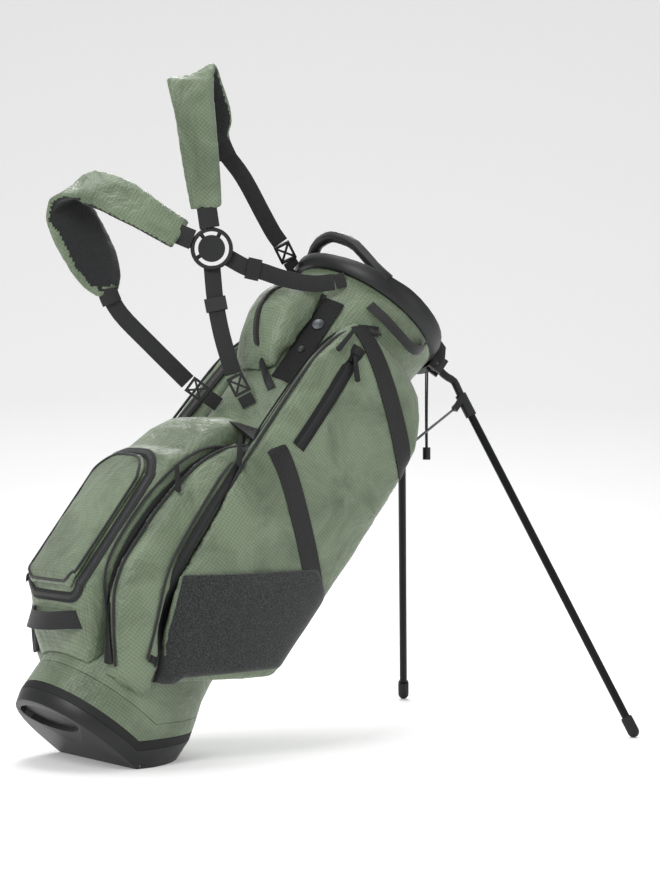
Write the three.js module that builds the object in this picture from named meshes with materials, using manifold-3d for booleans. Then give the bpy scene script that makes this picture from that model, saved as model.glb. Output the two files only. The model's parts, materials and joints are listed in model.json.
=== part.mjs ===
// Golf stand bag, standing on its heel and two open legs.
//
// Units are millimetres and +Z is up. The origin is the middle of the heel plate's underside, on the
// ground. The bag is drawn upright in a frame of its own, then leaned over as one group: in that frame z
// runs up the bag's axis from the sole, +x is the belly side where the legs are, and -y is the near side.
import * as THREE from 'three';
import { mergeVertices } from 'three/addons/utils/BufferGeometryUtils.js';
import Module from 'manifold-3d';

const wasm = await Module();
wasm.setup();

// ---------------------------------------------------------------------------------------------------
// Driving dimensions
// ---------------------------------------------------------------------------------------------------
const GAP = 0.35; // clearance between pieces that touch
const FINENESS = 0.12; // facets flatter than this are merged
const LEAN = THREE.MathUtils.degToRad(39.93); // bag axis from the vertical

// Body of the bag
const TUBE_RADIUS = 112;
const BODY_SIDES = 36;
const TUBE_OFFSET = 4; // tube axis towards the belly
const TUBE_WALL = 4; // fabric, foam and stiffener together
const TUBE_FLARE = 7; // how far the mouth opens out under the cuff
const FLARE_LENGTH = 55;
const CUFF_Z = 797; // where the fabric ends and the cuff starts

// Base
const HEEL_LENGTH = 22; // how far the base reaches back past the tube
const HINGE_X = 46.5; // where the flat sole meets the slanted heel
const SOLE_TAPER = 5;
const CUP_WALL = 4;
const CUP_FLOOR = 5;
const CUP_FRONT = 19; // height of the cup at the front, square to the sole
const CUP_REAR = 27; // height of the cup at the rear, above the ground
const TRIM_FRONT = 31;
const TRIM_REAR = 40;
const SEAM_FRONT = 66;
const SEAM_REAR = 62;
const GRIP_RECESS = 8; // depth of the lifting recess in the sole

// Heel plate
const PLATE_THICKNESS = 8;
const PLATE_RIM = 9; // wall of the cup left round the plate
const PLATE_START = 2; // from the hinge line to the plate's nose
const PIN_RADIUS = 2;
const PIN_CLEARANCE = 0.4;
const PLATE_CLEARANCE = 0.8;

// Cuff, handle and club divider
const CUFF_INNER = 104;
const CUFF_OUTER = 127;
const CUFF_HEIGHT = 36;
const CUFF_DROP = 15; // how much lower the cuff is on the strap side
const HANDLE_WIDTH = 17;
const HANDLE_HEIGHT = 15;
const DIVIDER_BAR = 8;
const DIVIDER_RISE = 20; // divider above the lower edge of the cuff
const DIVIDER_DROP = 26; // divider below the lower edge of the cuff
const PANEL_THICKNESS = 2.4;

// Legs, in the plane that each leg swings in: u points out from the bag and z runs up its axis
const PIVOT = { x: 129, y: 50, above: 11.3 }; // hinge of a leg, above the lower edge of the cuff
const LEG_TOE_OUT = THREE.MathUtils.degToRad(24.75); // leg's plane from the bag's own middle plane
const LEG_DROP = THREE.MathUtils.degToRad(29.4); // open leg below the square of the bag's axis
const ELBOW_REACH = 60; // from the hinge to the start of the leg's socket
const ELBOW_DROP = 16.5;
const ELBOW_RADIUS = 9;
const SOCKET_LENGTH = 34;
const LEG_RADIUS = 6.2;
const FOOT_RADIUS = 9;
const FOOT_SLEEVE = 25; // straight part of the rubber foot
const BARREL_WIDTH = 12; // elbow's barrel between the bracket's cheeks
const CHEEK_WIDTH = 5;
const STAY_LUG = { u: 61.8, drop: 38.4 }; // where the stay hangs from the elbow
const STAY_RADIUS = 2;
const STAY_EYE = 4; // thickness of the eye at the top of a stay
const STAY_FOOT = { width: 3, radius: 5 }; // flattened end of a stay, beside the end of the yoke

// Actuator: the rod inside the belly that the heel plate lifts
const YOKE_Z = 530;
const YOKE_X = 124;
const YOKE_Y = 38;
const YOKE_SIZE = 6;
const ROD_RADIUS = 3;

// Pockets
const POCKET_WALL = 5;
const LID_THICKNESS = 7;
const LID_HALF_WIDTH = 66;
const LID_BOTTOM = 147;
const LID_TOP = 376;
const LID_CORNER = 46;
const POCKET_FLOOR = 115; // lower edge of the side pockets above the ground
const FLEECE_TOP = 275; // top edge of the fleece pocket above the ground
const TRIM_THICKNESS = 1.6;
const ZIP_WIDTH = 15;

// Straps
const HARNESS_TURN = THREE.MathUtils.degToRad(-36.4); // plane that the straps hang in
const HARNESS_HUB = new THREE.Vector3(200, 0, 741); // from the hinge line on the ground
const HUB_RADIUS = 31.5;
const HUB_BAR = 6;
const HUB_DISC = 20;
const WEB_WIDTH = 25;
const WEB_THICKNESS = 2.4;
const PAD_THICKNESS = 11;
const HOOK = { width: WEB_WIDTH + 1, length: 30, thickness: 4, bar: 4 };
const ADJUSTER = { width: WEB_WIDTH + 7, length: 20, thickness: 8 };
const CORD_RADIUS = 1.25;
const CORD_LENGTH = 124;
const BELL_RADIUS = 6;
const BELL_LENGTH = 19;

// Zip pulls
const TAB_WIDTH = 8.5;
const TAB_THICKNESS = 2.4;
const SLIDER_TRAVEL = 110;

// ---------------------------------------------------------------------------------------------------
// Solids
// ---------------------------------------------------------------------------------------------------
const V = (x, y, z) => new THREE.Vector3(x, y, z);
const AXES = { xz: [V(1, 0, 0), V(0, 0, 1), V(0, -1, 0)], yz: [V(0, 1, 0), V(0, 0, 1), V(1, 0, 0)] };

function solid(geometry) {
  const bare = geometry.clone();
  bare.deleteAttribute('normal');
  bare.deleteAttribute('uv');
  const merged = mergeVertices(bare, 1e-4);
  const mesh = new wasm.Mesh({
    numProp: 3,
    vertProperties: new Float32Array(merged.attributes.position.array),
    triVerts: new Uint32Array(merged.index.array),
  });
  return new wasm.Manifold(mesh);
}

// The largest body left after a cut, without the slivers
function largest(manifold) {
  return manifold.decompose().sort((a, b) => b.volume() - a.volume())[0];
}

function surface(manifold) {
  const { vertProperties, triVerts } = manifold.simplify(FINENESS).getMesh();
  const geometry = new THREE.BufferGeometry();
  geometry.setAttribute('position', new THREE.BufferAttribute(vertProperties, 3));
  geometry.setIndex(new THREE.BufferAttribute(triVerts, 1));
  geometry.computeVertexNormals();
  return geometry;
}

// A closed skin over a row of rings that all have the same number of points
function loft(rings) {
  const count = rings[0].length;
  const points = rings.flat();
  const faces = [];
  for (let r = 0; r + 1 < rings.length; r++) {
    for (let i = 0; i < count; i++) {
      const j = (i + 1) % count;
      const [a, b] = [r * count + i, r * count + j];
      faces.push(a, b, b + count, a, b + count, a + count);
    }
  }
  for (const [ring, turn] of [[0, -1], [rings.length - 1, 1]]) {
    const middle = points.length;
    points.push(rings[ring].reduce((sum, p) => sum.add(p), V(0, 0, 0)).divideScalar(count));
    for (let i = 0; i < count; i++) {
      const [a, b] = [ring * count + i, ring * count + (i + 1) % count];
      faces.push(middle, ...(turn > 0 ? [a, b] : [b, a]));
    }
  }
  let volume = 0;
  for (let f = 0; f < faces.length; f += 3) {
    const [a, b, c] = faces.slice(f, f + 3).map((i) => points[i]);
    volume += a.dot(b.clone().cross(c));
  }
  if (volume < 0) faces.reverse();
  const geometry = new THREE.BufferGeometry().setFromPoints(points);
  geometry.setIndex(faces);
  geometry.computeVertexNormals();
  return geometry;
}

// A flat outline pushed along the third of three axes, half to each side of the plane
function prism(outline, depth, [right, up, along] = AXES.xz, hole) {
  const shape = outline instanceof THREE.Shape ? outline : new THREE.Shape(outline);
  if (hole) shape.holes.push(hole);
  const geometry = new THREE.ExtrudeGeometry(shape, { depth, bevelEnabled: false, curveSegments: 8 });
  geometry.translate(0, 0, -depth / 2);
  return geometry.applyMatrix4(new THREE.Matrix4().makeBasis(right, up, along));
}

function box(width, depth, height, x, y, z) {
  return new THREE.BoxGeometry(width, depth, height).translate(x, y, z);
}

function rod(from, to, radius, sides = 16) {
  const along = to.clone().sub(from);
  const geometry = new THREE.CylinderGeometry(radius, radius, along.length(), sides);
  const turn = new THREE.Quaternion().setFromUnitVectors(V(0, 1, 0), along.clone().normalize());
  const middle = from.clone().add(to).divideScalar(2);
  return geometry.applyQuaternion(turn).translate(middle.x, middle.y, middle.z);
}

// A ring turned about the z axis from an outline of [radius, z] points
function turned(outline, segments = 40) {
  const profile = [...outline, outline[0]].map(([r, z]) => new THREE.Vector2(r, z));
  const geometry = new THREE.LatheGeometry(profile, segments);
  return geometry.rotateX(Math.PI / 2);
}

// A bar swept through stations { at, across, normal } with a section of [across, normal] points
function sweep(stations, section) {
  return loft(stations.map(({ at, across, normal, width = 1 }) => section.map(([a, n]) => at.clone()
    .addScaledVector(across, a * width)
    .addScaledVector(normal, n))));
}

// A flat bar's section with eased corners
function barSection(halfWidth, halfHeight, ease) {
  const [w, h, e] = [halfWidth, halfHeight, ease];
  return [[-w, -h + e], [-w + e, -h], [w - e, -h], [w, -h + e], [w, h - e], [w - e, h], [-w + e, h],
    [-w, h - e]];
}

const flatSection = (width, thickness) => {
  const [w, h] = [width / 2, thickness / 2];
  return [[-w, -h], [w, -h], [w, h], [-w, h]];
};

// Stations along a smooth curve, each turned so that its width lies along the given directions
function ribbonStations(route, across, steps) {
  const curve = new THREE.CatmullRomCurve3(route, false, 'centripetal');
  const turns = new THREE.CatmullRomCurve3(across, false, 'centripetal');
  return Array.from({ length: steps + 1 }, (_, i) => {
    const tangent = curve.getTangent(i / steps);
    const side = turns.getPoint(i / steps);
    const width = side.length();
    side.addScaledVector(tangent, -side.dot(tangent)).normalize();
    return { at: curve.getPoint(i / steps), across: side, normal: side.clone().cross(tangent), width };
  });
}

// ---------------------------------------------------------------------------------------------------
// The bag's frame and the ground
// ---------------------------------------------------------------------------------------------------
const SIN = Math.sin(LEAN);
const COS = Math.cos(LEAN);
const FAR = 500; // past every side of the bag
const TOP = CUFF_Z + FAR;

// Point of the bag's frame that lies s along the ground from the hinge line and h above the ground
const overGround = (s, h) => [HINGE_X + s * COS - h * SIN, s * SIN + h * COS];
const heightAt = (x, z) => (HINGE_X - x) * SIN + z * COS;

// Everything above a line that is square to the bag at the front and level at the rear
function above(front, rear) {
  const bend = HINGE_X + (front * COS - rear) / SIN;
  const outline = [[-FAR, front], [bend, front], [bend + FAR, front + FAR * Math.tan(LEAN)],
    [bend + FAR, TOP], [-FAR, TOP]];
  return solid(prism(outline.map(([x, z]) => new THREE.Vector2(x, z)), 2 * FAR));
}

// Everything between two heights above the ground, from s onwards
function overGroundSlab(low, high, start) {
  const corners = [[start, low], [FAR, low], [FAR, high], [start, high]];
  return solid(prism(corners.map(([s, h]) => new THREE.Vector2(...overGround(s, h))), 2 * FAR));
}

// Outline of the body: a circle that is stretched towards the heel
function bodyRing(z, heel, grow) {
  const radius = TUBE_RADIUS + grow;
  return Array.from({ length: BODY_SIDES }, (_, i) => {
    const angle = ((i + 0.5) / BODY_SIDES) * 2 * Math.PI;
    const shift = Math.cos(angle) > 0 ? heel : 0;
    return V(TUBE_OFFSET + shift + radius * Math.cos(angle), radius * Math.sin(angle), z);
  });
}

// The whole body grown by a distance; sole is the taper at the very bottom
function body(grow, bottom = -60, top = TOP) {
  const rings = [[bottom, HEEL_LENGTH, 0], [95, HEEL_LENGTH, 0], [125, HEEL_LENGTH * 0.6, 0],
    [150, HEEL_LENGTH * 0.2, 0], [180, 0, 0], [CUFF_Z - FLARE_LENGTH, 0, 0], [CUFF_Z, 0, TUBE_FLARE],
    [top, 0, TUBE_FLARE]];
  return solid(loft(rings.map(([z, heel, flare]) => bodyRing(z, heel, grow + flare))));
}

const clearOfBody = body(GAP);
const bodyCore = body(-TUBE_WALL);

// ---------------------------------------------------------------------------------------------------
// Materials
// ---------------------------------------------------------------------------------------------------
const material = (color, roughness, metalness = 0) => (
  new THREE.MeshStandardMaterial({ color, roughness, metalness }));
const FABRIC = material('#7d8c6e', 0.6);
const LINING = material('#151617', 0.9);
const WEBBING = material('#17181a', 0.75);
const PLASTIC = material('#18191b', 0.5);
const FLEECE = material('#2b2c2d', 0.95);
const RUBBER = material('#121314', 0.85);
const ALUMINIUM = material('#1b1c1e', 0.35, 0.8);
const STEEL = material('#b9bcc0', 0.3, 1);

// Length of the heel plate along the ground; its middle is the origin
const PLATE_END = (TUBE_OFFSET + HEEL_LENGTH + TUBE_RADIUS - PLATE_RIM - HINGE_X) / COS;

const stand = new THREE.Group();
stand.position.x = -(PLATE_START + PLATE_END) / 2;
const bag = new THREE.Group();
bag.rotation.y = LEAN;
bag.position.set(-HINGE_X * COS, 0, HINGE_X * SIN);
const harness = new THREE.Group();
harness.rotation.set(Math.PI / 2, 0, HARNESS_TURN, 'ZXY');
harness.position.copy(HARNESS_HUB);
stand.add(bag, harness);
stand.updateMatrixWorld(true);

function add(name, shape, look, parent = bag) {
  const mesh = new THREE.Mesh(shape.isBufferGeometry ? shape : surface(shape), look.clone());
  mesh.name = name;
  parent.add(mesh);
  return mesh;
}

// Where a moving piece turns or slides, in its parent group's frame
function pivot(mesh, at, axis) {
  mesh.userData.pivot = { at, axis: axis.clone().normalize() };
}

// ---------------------------------------------------------------------------------------------------
// Linkage: the leg, the stay and the yoke, worked out for the open and the folded leg
// ---------------------------------------------------------------------------------------------------
// Point of a leg's plane, u out from the hinge and drop below it, in the bag's frame
function legPoint(u, drop, side) {
  return V(PIVOT.x + u * Math.cos(LEG_TOE_OUT), side * (PIVOT.y + u * Math.sin(LEG_TOE_OUT)),
    CUFF_Z + PIVOT.above - drop);
}

// Where the leg's middle line meets the ground, less the foot's own radius
const socketStart = { u: ELBOW_REACH, drop: ELBOW_DROP };
const legLine = (length) => ({
  u: socketStart.u + length * Math.cos(LEG_DROP), drop: socketStart.drop + length * Math.sin(LEG_DROP) });
const legHeight = (length) => {
  const { u, drop } = legLine(length);
  const { x, z } = legPoint(u, drop, 1);
  return heightAt(x, z);
};
const LEG_LENGTH = (legHeight(0) - FOOT_RADIUS) / (legHeight(0) - legHeight(1));
const foot = legLine(LEG_LENGTH);
const LEG_SWING = Math.PI / 2 - Math.atan2(foot.drop, foot.u); // open leg to leg along the belly

const lugReach = Math.hypot(STAY_LUG.u, STAY_LUG.drop);
const lugTurn = Math.atan2(STAY_LUG.drop, STAY_LUG.u) + LEG_SWING;
const lugOpen = legPoint(STAY_LUG.u, STAY_LUG.drop, 1);
const lugFolded = legPoint(lugReach * Math.cos(lugTurn), lugReach * Math.sin(lugTurn), 1);
const yokeOpen = V(YOKE_X, YOKE_Y, YOKE_Z);
const STAY_LENGTH = lugOpen.distanceTo(yokeOpen);
const stayDrop = Math.sqrt(STAY_LENGTH ** 2 - (lugFolded.x - YOKE_X) ** 2 - (lugFolded.y - YOKE_Y) ** 2);
const YOKE_TRAVEL = YOKE_Z - (lugFolded.z - stayDrop);
const ROD_X = HINGE_X + YOKE_TRAVEL / Math.tan(LEAN); // the plate's swing lifts the rod by this travel

// ---------------------------------------------------------------------------------------------------
// Base: cup, trim, heel plate and pin
// ---------------------------------------------------------------------------------------------------
const plateNose = PLATE_THICKNESS / 2;
const PIN_AT = overGround(PLATE_START + plateNose, plateNose);
const yAxisRod = ([x, z], length, radius, sides) => (
  rod(V(x, -length / 2, z), V(x, length / 2, z), radius, sides));

function makeBase() {
  const outer = solid(loft([bodyRing(0, HEEL_LENGTH, -SOLE_TAPER), ...[CUP_FRONT, 160].map(
    (z) => bodyRing(z, HEEL_LENGTH, 0))]));
  const pinHole = solid(yAxisRod(PIN_AT, 2 * FAR, PIN_RADIUS + PIN_CLEARANCE));
  const plateRoom = body(-PLATE_RIM)
    .intersect(overGroundSlab(-1, PLATE_THICKNESS + PLATE_CLEARANCE, PLATE_START - PLATE_CLEARANCE));
  const cavity = bodyCore
    .intersect(above(CUP_FLOOR, PLATE_THICKNESS + PLATE_CLEARANCE + CUP_FLOOR));
  const rodHole = rod(V(ROD_X, 0, -FAR), V(ROD_X, 0, FAR), ROD_RADIUS + 1.5);
  const grip = prism(new THREE.Shape().absellipse(-58, 0, 30, 72, 0, 2 * Math.PI), 2 * GRIP_RECESS,
    [V(1, 0, 0), V(0, 1, 0), V(0, 0, 1)]);
  const floorUnderGrip = prism(new THREE.Shape().absellipse(-58, 0, 34, 76, 0, 2 * Math.PI),
    GRIP_RECESS + CUP_FLOOR, [V(1, 0, 0), V(0, 1, 0), V(0, 0, 1)]);
  floorUnderGrip.translate(0, 0, (GRIP_RECESS + CUP_FLOOR) / 2);
  const cup = outer
    .intersect(above(0, 0))
    .subtract(above(CUP_FRONT, CUP_REAR))
    .subtract(cavity.subtract(solid(floorUnderGrip)))
    .subtract(solid(grip))
    .subtract(plateRoom)
    .subtract(pinHole)
    .subtract(solid(rodHole));
  add('base_cup', cup, PLASTIC);

  const hollow = body(0).subtract(bodyCore);
  const band = hollow.intersect(above(CUP_FRONT + GAP, CUP_REAR + GAP));
  add('base_trim', band.subtract(above(TRIM_FRONT, TRIM_REAR)), RUBBER);
  const boot = hollow.intersect(above(TRIM_FRONT + GAP, TRIM_REAR + GAP));
  add('boot_fabric', boot.subtract(above(SEAM_FRONT, SEAM_REAR)), FABRIC);

  // The plate's rim is drawn in by its own height, so that it clears the cup as it swings down
  const plateBody = body(-PLATE_RIM - PLATE_CLEARANCE);
  const plateSlab = plateBody
    .intersect(plateBody.translate([-PLATE_THICKNESS * SIN, 0, PLATE_THICKNESS * COS]))
    .intersect(overGroundSlab(0, PLATE_THICKNESS, PLATE_START + plateNose));
  const width = 2 * (TUBE_RADIUS - PLATE_RIM - PLATE_CLEARANCE) - 24;
  const nose = solid(yAxisRod(PIN_AT, width, plateNose, 20));
  const plate = plateSlab.add(nose).subtract(solid(yAxisRod(PIN_AT, 2 * FAR, PIN_RADIUS + PIN_CLEARANCE)));
  pivot(add('heel_plate', plate, RUBBER), V(PIN_AT[0], 0, PIN_AT[1]), V(0, 1, 0));
  add('heel_pin', yAxisRod(PIN_AT, 2 * TUBE_RADIUS - 14, PIN_RADIUS), STEEL);
}

// ---------------------------------------------------------------------------------------------------
// Tube, cuff, handle and dividers
// ---------------------------------------------------------------------------------------------------
function makeTube() {
  const slot = box(40, 2 * (YOKE_SIZE + 3), YOKE_TRAVEL + YOKE_SIZE * 2 + 24, YOKE_X - 14, 0,
    YOKE_Z - YOKE_TRAVEL / 2);
  const tube = body(0, -60, CUFF_Z)
    .subtract(bodyCore)
    .intersect(above(SEAM_FRONT + GAP, SEAM_REAR + GAP))
    .subtract(solid(slot));
  add('tube_fabric', tube, FABRIC);
}

function makeCuff() {
  const [inner, outer, low, high] = [CUFF_INNER, CUFF_OUTER, CUFF_Z + GAP, CUFF_Z + CUFF_HEIGHT];
  const ring = turned([[inner, low], [TUBE_RADIUS + TUBE_FLARE + 3, low], [outer, low + 9],
    [outer, high - 12], [outer - 3, high - 3], [outer - 8, high], [inner + 4, high], [inner, high - 5]]);
  const slope = [[-FAR, high - CUFF_DROP], [-outer + 8, high - CUFF_DROP], [10, high + 2], [10, TOP],
    [-FAR, TOP]];
  const dip = prism(slope.map(([x, z]) => new THREE.Vector2(x, z)), 2 * FAR);
  const arc = [[-118, 3, 3], [-131, 10, -1], [-144, 22, -4], [-157, 32, 0], [-170, 36, 1], [180, 38, 2]];
  const right = arc.map(([angle, rise, out]) => handlePoint(angle, high - CUFF_DROP + rise, out));
  const left = right.slice(0, -1).reverse().map((p) => V(p.x, -p.y, p.z));
  const route = [...right, ...left];
  const across = route.map((p) => V(p.x, p.y, 0).normalize());
  const bar = sweep(ribbonStations(route, across, 18), barSection(HANDLE_WIDTH / 2, HANDLE_HEIGHT / 2, 4));
  add('cuff', solid(ring).subtract(solid(dip)).add(solid(bar)), PLASTIC);
}

function handlePoint(angle, z, out) {
  const turn = THREE.MathUtils.degToRad(angle);
  const radius = (CUFF_INNER + CUFF_OUTER) / 2 + 3 + out;
  return V(radius * Math.cos(turn), radius * Math.sin(turn), z);
}

function makeDividers() {
  const radius = CUFF_INNER - GAP;
  const [low, high] = [CUFF_Z - DIVIDER_DROP, CUFF_Z + DIVIDER_RISE];
  const ring = turned([[radius - 5, low], [radius, low], [radius, high - 2], [radius - 2, high],
    [radius - 5, high]]);
  let frame = solid(ring);
  let panels;
  for (const turn of [Math.PI / 4, -Math.PI / 4]) {
    const bar = box(2 * radius - 6, DIVIDER_BAR, high - low, 0, 0, (high + low) / 2).rotateZ(turn);
    frame = frame.add(solid(bar));
    const panel = solid(box(2 * radius - 14, PANEL_THICKNESS, low - GAP, 0, 0, (low - GAP) / 2).rotateZ(turn));
    panels = panels ? panels.add(panel) : panel;
  }
  add('club_divider', frame, PLASTIC);
  const room = above(GRIP_RECESS + CUP_FLOOR + 3, PLATE_THICKNESS + CUP_FLOOR + 6);
  add('divider_panels', panels.intersect(room).subtract(body(-TUBE_WALL - 2).subtract(body(-TUBE_WALL - 40))),
    LINING);
}

// ---------------------------------------------------------------------------------------------------
// Pockets: outlines round the tube at heights up the bag, as [angle, how far it stands proud]
// ---------------------------------------------------------------------------------------------------
const POCKET_RING = 22;

const SIDE_POCKET = [
  [60, [-123, 8], [-107, 5], [-87, 4], [-70, 7], [-57, 8], [-48, 2]],
  [110, [-111, 18], [-100, 20], [-83, 27], [-64, 38], [-48, 48], [-40, 29]],
  [165, [-117, 36], [-104, 33], [-80, 37], [-59, 57], [-46, 69], [-39, 34]],
  [235, [-128, 52], [-114, 46], [-84, 43], [-59, 65], [-46, 80], [-39, 38]],
  [300, [-129, 55], [-114, 49], [-84, 44], [-59, 67], [-46, 83], [-40, 39]],
  [-347, [-133, 58], [-115, 50], [-84, 44], [-59, 69], [-46, 87], [-40, 40]],
  [-222, [-133, 51], [-116, 45], [-86, 38], [-59, 63], [-46, 84], [-40, 38]],
  [-157, [-133, 46], [-116, 38], [-88, 36], [-61, 60], [-48, 79], [-42, 32]],
  [-117, [-131, 33], [-115, 32], [-92, 31], [-65, 49], [-51, 63], [-44, 28]],
  [-82, [-129, 20], [-115, 22], [-93, 22], [-68, 34], [-55, 42], [-48, 20]],
  [-55, [-124, 6], [-113, 9], [-96, 8], [-77, 9], [-64, 8], [-55, 4]],
];
const MID_POCKET = [
  [72, [-125, 10], [-117, 11], [-109, 8], [-103, 7]],
  [90, [-131, 28], [-122, 28], [-111, 22], [-100, 16]],
  [122, [-139, 51], [-130, 47], [-116, 34], [-103, 21]],
  [165, [-148, 71], [-139, 66], [-127, 51], [-117, 36]],
  [210, [-152, 80], [-144, 76], [-134, 63], [-125, 49]],
  [300, [-153, 82], [-146, 77], [-137, 66], [-129, 56]],
  [350, [-152, 79], [-145, 75], [-137, 65], [-130, 57]],
  [408, [-150, 69], [-144, 66], [-138, 60], [-132, 56]],
  [450, [-145, 54], [-142, 54], [-139, 53], [-135, 50]],
  [474, [-142, 34], [-140, 36], [-138, 36], [-136, 35]],
];
const BALL_POCKET = [
  [80, [-147, 2], [-157, 5], [-170, 4]],
  [105, [-146, 28], [-154, 35], [-168, 31]],
  [135, [-149, 53], [-157, 59], [-168, 56]],
  [160, [-152, 74], [-158, 84], [-168, 81]],
  [250, [-152, 78], [-158, 89], [-168, 86]],
  [345, [-152, 75], [-158, 89], [-168, 86]],
  [385, [-152, 71], [-157, 85], [-167, 82]],
  [408, [-151, 64], [-156, 71], [-167, 67]],
  [450, [-149, 53], [-155, 60], [-167, 56]],
  [480, [-149, 40], [-155, 45], [-167, 42]],
  [500, [-151, 16], [-157, 18], [-168, 17]],
  [514, [-155, -2], [-161, 0], [-171, -1]],
];
const HUMP_POCKET = [
  [-209, [-156, -5], [-167, -2]],
  [-177, [-156, 9], [-167, 16]],
  [-145, [-156, 21], [-167, 30]],
  [-107, [-157, 30], [-168, 41]],
  [-75, [-157, 30], [-168, 41]],
  [-49, [-158, 22], [-168, 32]],
  [-29, [-158, 8], [-169, 14]],
  [-17, [-159, -1], [-169, 2]],
];

// Heights above zero are from the sole, those below are from the cuff; a root sinks into the tube
function levels(table, roots, mirrored) {
  return table.map(([z, ...outline]) => {
    const half = [...roots.map((angle) => [angle, -28]), ...outline];
    const rest = mirrored ? half.map(([angle, proud]) => [-angle, proud]).reverse() : [];
    return { z: z > 0 ? z : CUFF_Z + z, outline: [...half, ...rest] };
  });
}

const SIDE = levels(SIDE_POCKET, [-50, -90, -134]);
const MID = levels(MID_POCKET, [-122, -148]);
const BALL = levels(BALL_POCKET, [-140], true);
const HUMP = levels(HUMP_POCKET, [-150], true);

function polar(angle, proud, side, z) {
  const turn = THREE.MathUtils.degToRad(angle);
  const radius = TUBE_RADIUS + proud;
  return V(TUBE_OFFSET + radius * Math.cos(turn), -side * radius * Math.sin(turn), z);
}

function pocketRing({ z, outline }, side, grow, lift) {
  const curve = new THREE.CatmullRomCurve3(outline.map(([a, p]) => polar(a, p, side, 0)), true, 'centripetal');
  const ring = curve.getPoints(POCKET_RING).slice(0, POCKET_RING);
  const turn = Math.sign(THREE.ShapeUtils.area(ring));
  return ring.map((point, i) => {
    const before = ring[(i + POCKET_RING - 1) % POCKET_RING];
    const after = ring[(i + 1) % POCKET_RING];
    const out = V(after.y - before.y, before.x - after.x, 0).normalize();
    return point.clone().addScaledVector(out, turn * grow).setZ(z + lift);
  });
}

// A pocket's solid; side is -1 for the near side of the bag and 1 for the far side
function pocket(table, side, grow = 0) {
  const rings = table.map((level, i) => {
    const end = Number(i === table.length - 1) - Number(i === 0);
    return pocketRing(level, side, grow, end * grow);
  });
  return solid(loft(rings));
}

const sideFloor = (lift = 0) => overGroundSlab(POCKET_FLOOR - lift, TOP, -FAR);

function makePockets() {
  const opening = lidOutline(-12);
  const ball = pocket(BALL, 1);
  const cavity = pocket(BALL, 1, -POCKET_WALL).subtract(body(POCKET_WALL));
  const mouth = solid(opening).intersect(pocket(BALL, 1, 20)).subtract(body(POCKET_WALL));
  const seam = above(SEAM_FRONT + GAP, SEAM_REAR + GAP);
  add('ball_pocket', largest(ball.subtract(clearOfBody).subtract(cavity).subtract(mouth).intersect(seam)), FABRIC);
  const lid = pocket(BALL, 1, GAP + LID_THICKNESS)
    .subtract(pocket(BALL, 1, GAP))
    .intersect(solid(lidOutline(0)))
    .intersect(solid(box(FAR, 2 * FAR, 2 * FAR, -FAR / 2 - TUBE_RADIUS, 0, 0)));
  const hinge = polar(BALL[4].outline[2][0], BALL[4].outline[2][1] + 3, -1, (LID_BOTTOM + LID_TOP) / 2);
  pivot(add('ball_pocket_lid', lid, FABRIC), V(hinge.x, LID_HALF_WIDTH, hinge.z), V(0, 0, -1));

  for (const [side, name] of [[-1, 'near'], [1, 'far']]) {
    const mid = pocket(MID, side).subtract(clearOfBody).subtract(pocket(BALL, 1, GAP)).intersect(seam);
    add(`mid_pocket_${name}`, largest(mid), FABRIC);
    const big = pocket(SIDE, side)
      .subtract(clearOfBody)
      .subtract(pocket(MID, side, GAP))
      .intersect(sideFloor());
    add(`side_pocket_${name}`, largest(big), FABRIC);
  }
  add('hump_pocket', largest(pocket(HUMP, 1).subtract(clearOfBody)), FABRIC);
}

// The lid's outline pushed through the bag, grown by an edge
function lidOutline(edge) {
  const [half, low, high, corner] = [LID_HALF_WIDTH + edge, LID_BOTTOM - edge, LID_TOP + edge, LID_CORNER];
  const small = corner / 2;
  const shape = new THREE.Shape();
  shape.moveTo(-half + small, low);
  shape.lineTo(half - small, low);
  shape.absarc(half - small, low + small, small, -Math.PI / 2, 0);
  shape.absarc(half - corner, high - corner, corner, 0, Math.PI / 2);
  shape.absarc(-half + corner, high - corner, corner, Math.PI / 2, Math.PI);
  shape.absarc(-half + small, low + small, small, Math.PI, 1.5 * Math.PI);
  return prism(shape, 2 * FAR, AXES.yz);
}

// ---------------------------------------------------------------------------------------------------
// Things laid on the pockets: fleece, zips, sliders and pulls
// ---------------------------------------------------------------------------------------------------
const nearSide = pocket(SIDE, -1);

// A point on the near side's face and the way out from it
function faceAt(x, z) {
  const depth = (dx, dz) => nearSide
    .intersect(solid(box(0.4, FAR, 0.4, x + dx, -FAR / 2, z + dz)))
    .boundingBox().min[1];
  const [here, beside, over] = [depth(0, 0), depth(4, 0), depth(0, 4)];
  return { at: V(x, here, z), out: V((beside - here) / 4, -1, (over - here) / 4).normalize() };
}

// A thin layer over the near side pocket inside an outline of [x, z] points
function layer(outline, low, high) {
  const cut = solid(prism(outline.map(([x, z]) => new THREE.Vector2(x, z)), FAR).translate(0, -FAR / 2, 0));
  return largest(pocket(SIDE, -1, high)
    .subtract(pocket(SIDE, -1, low))
    .subtract(body(3 * GAP))
    .subtract(pocket(MID, -1, GAP))
    .intersect(cut));
}

// A ribbon laid along one corner of a pocket, from one level to another
function cornerRibbon(table, corner, [first, last], lift) {
  const stations = table.slice(first, last + 1).map(({ z, outline }) => {
    const curve = new THREE.CatmullRomCurve3(outline.map(([a, p]) => polar(a, p, -1, z)), true, 'centripetal');
    const at = curve.getPoint(corner / outline.length);
    const across = curve.getTangent(corner / outline.length);
    const out = V(at.x - TUBE_OFFSET, at.y, 0).normalize();
    const normal = out.clone().addScaledVector(across, -out.dot(across)).normalize();
    return { at: at.addScaledVector(normal, lift), across };
  });
  const steps = 2 * (stations.length - 1);
  return sweep(ribbonStations(stations.map(({ at }) => at), stations.map(({ across }) => across), steps),
    flatSection(ZIP_WIDTH, TRIM_THICKNESS));
}

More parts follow.
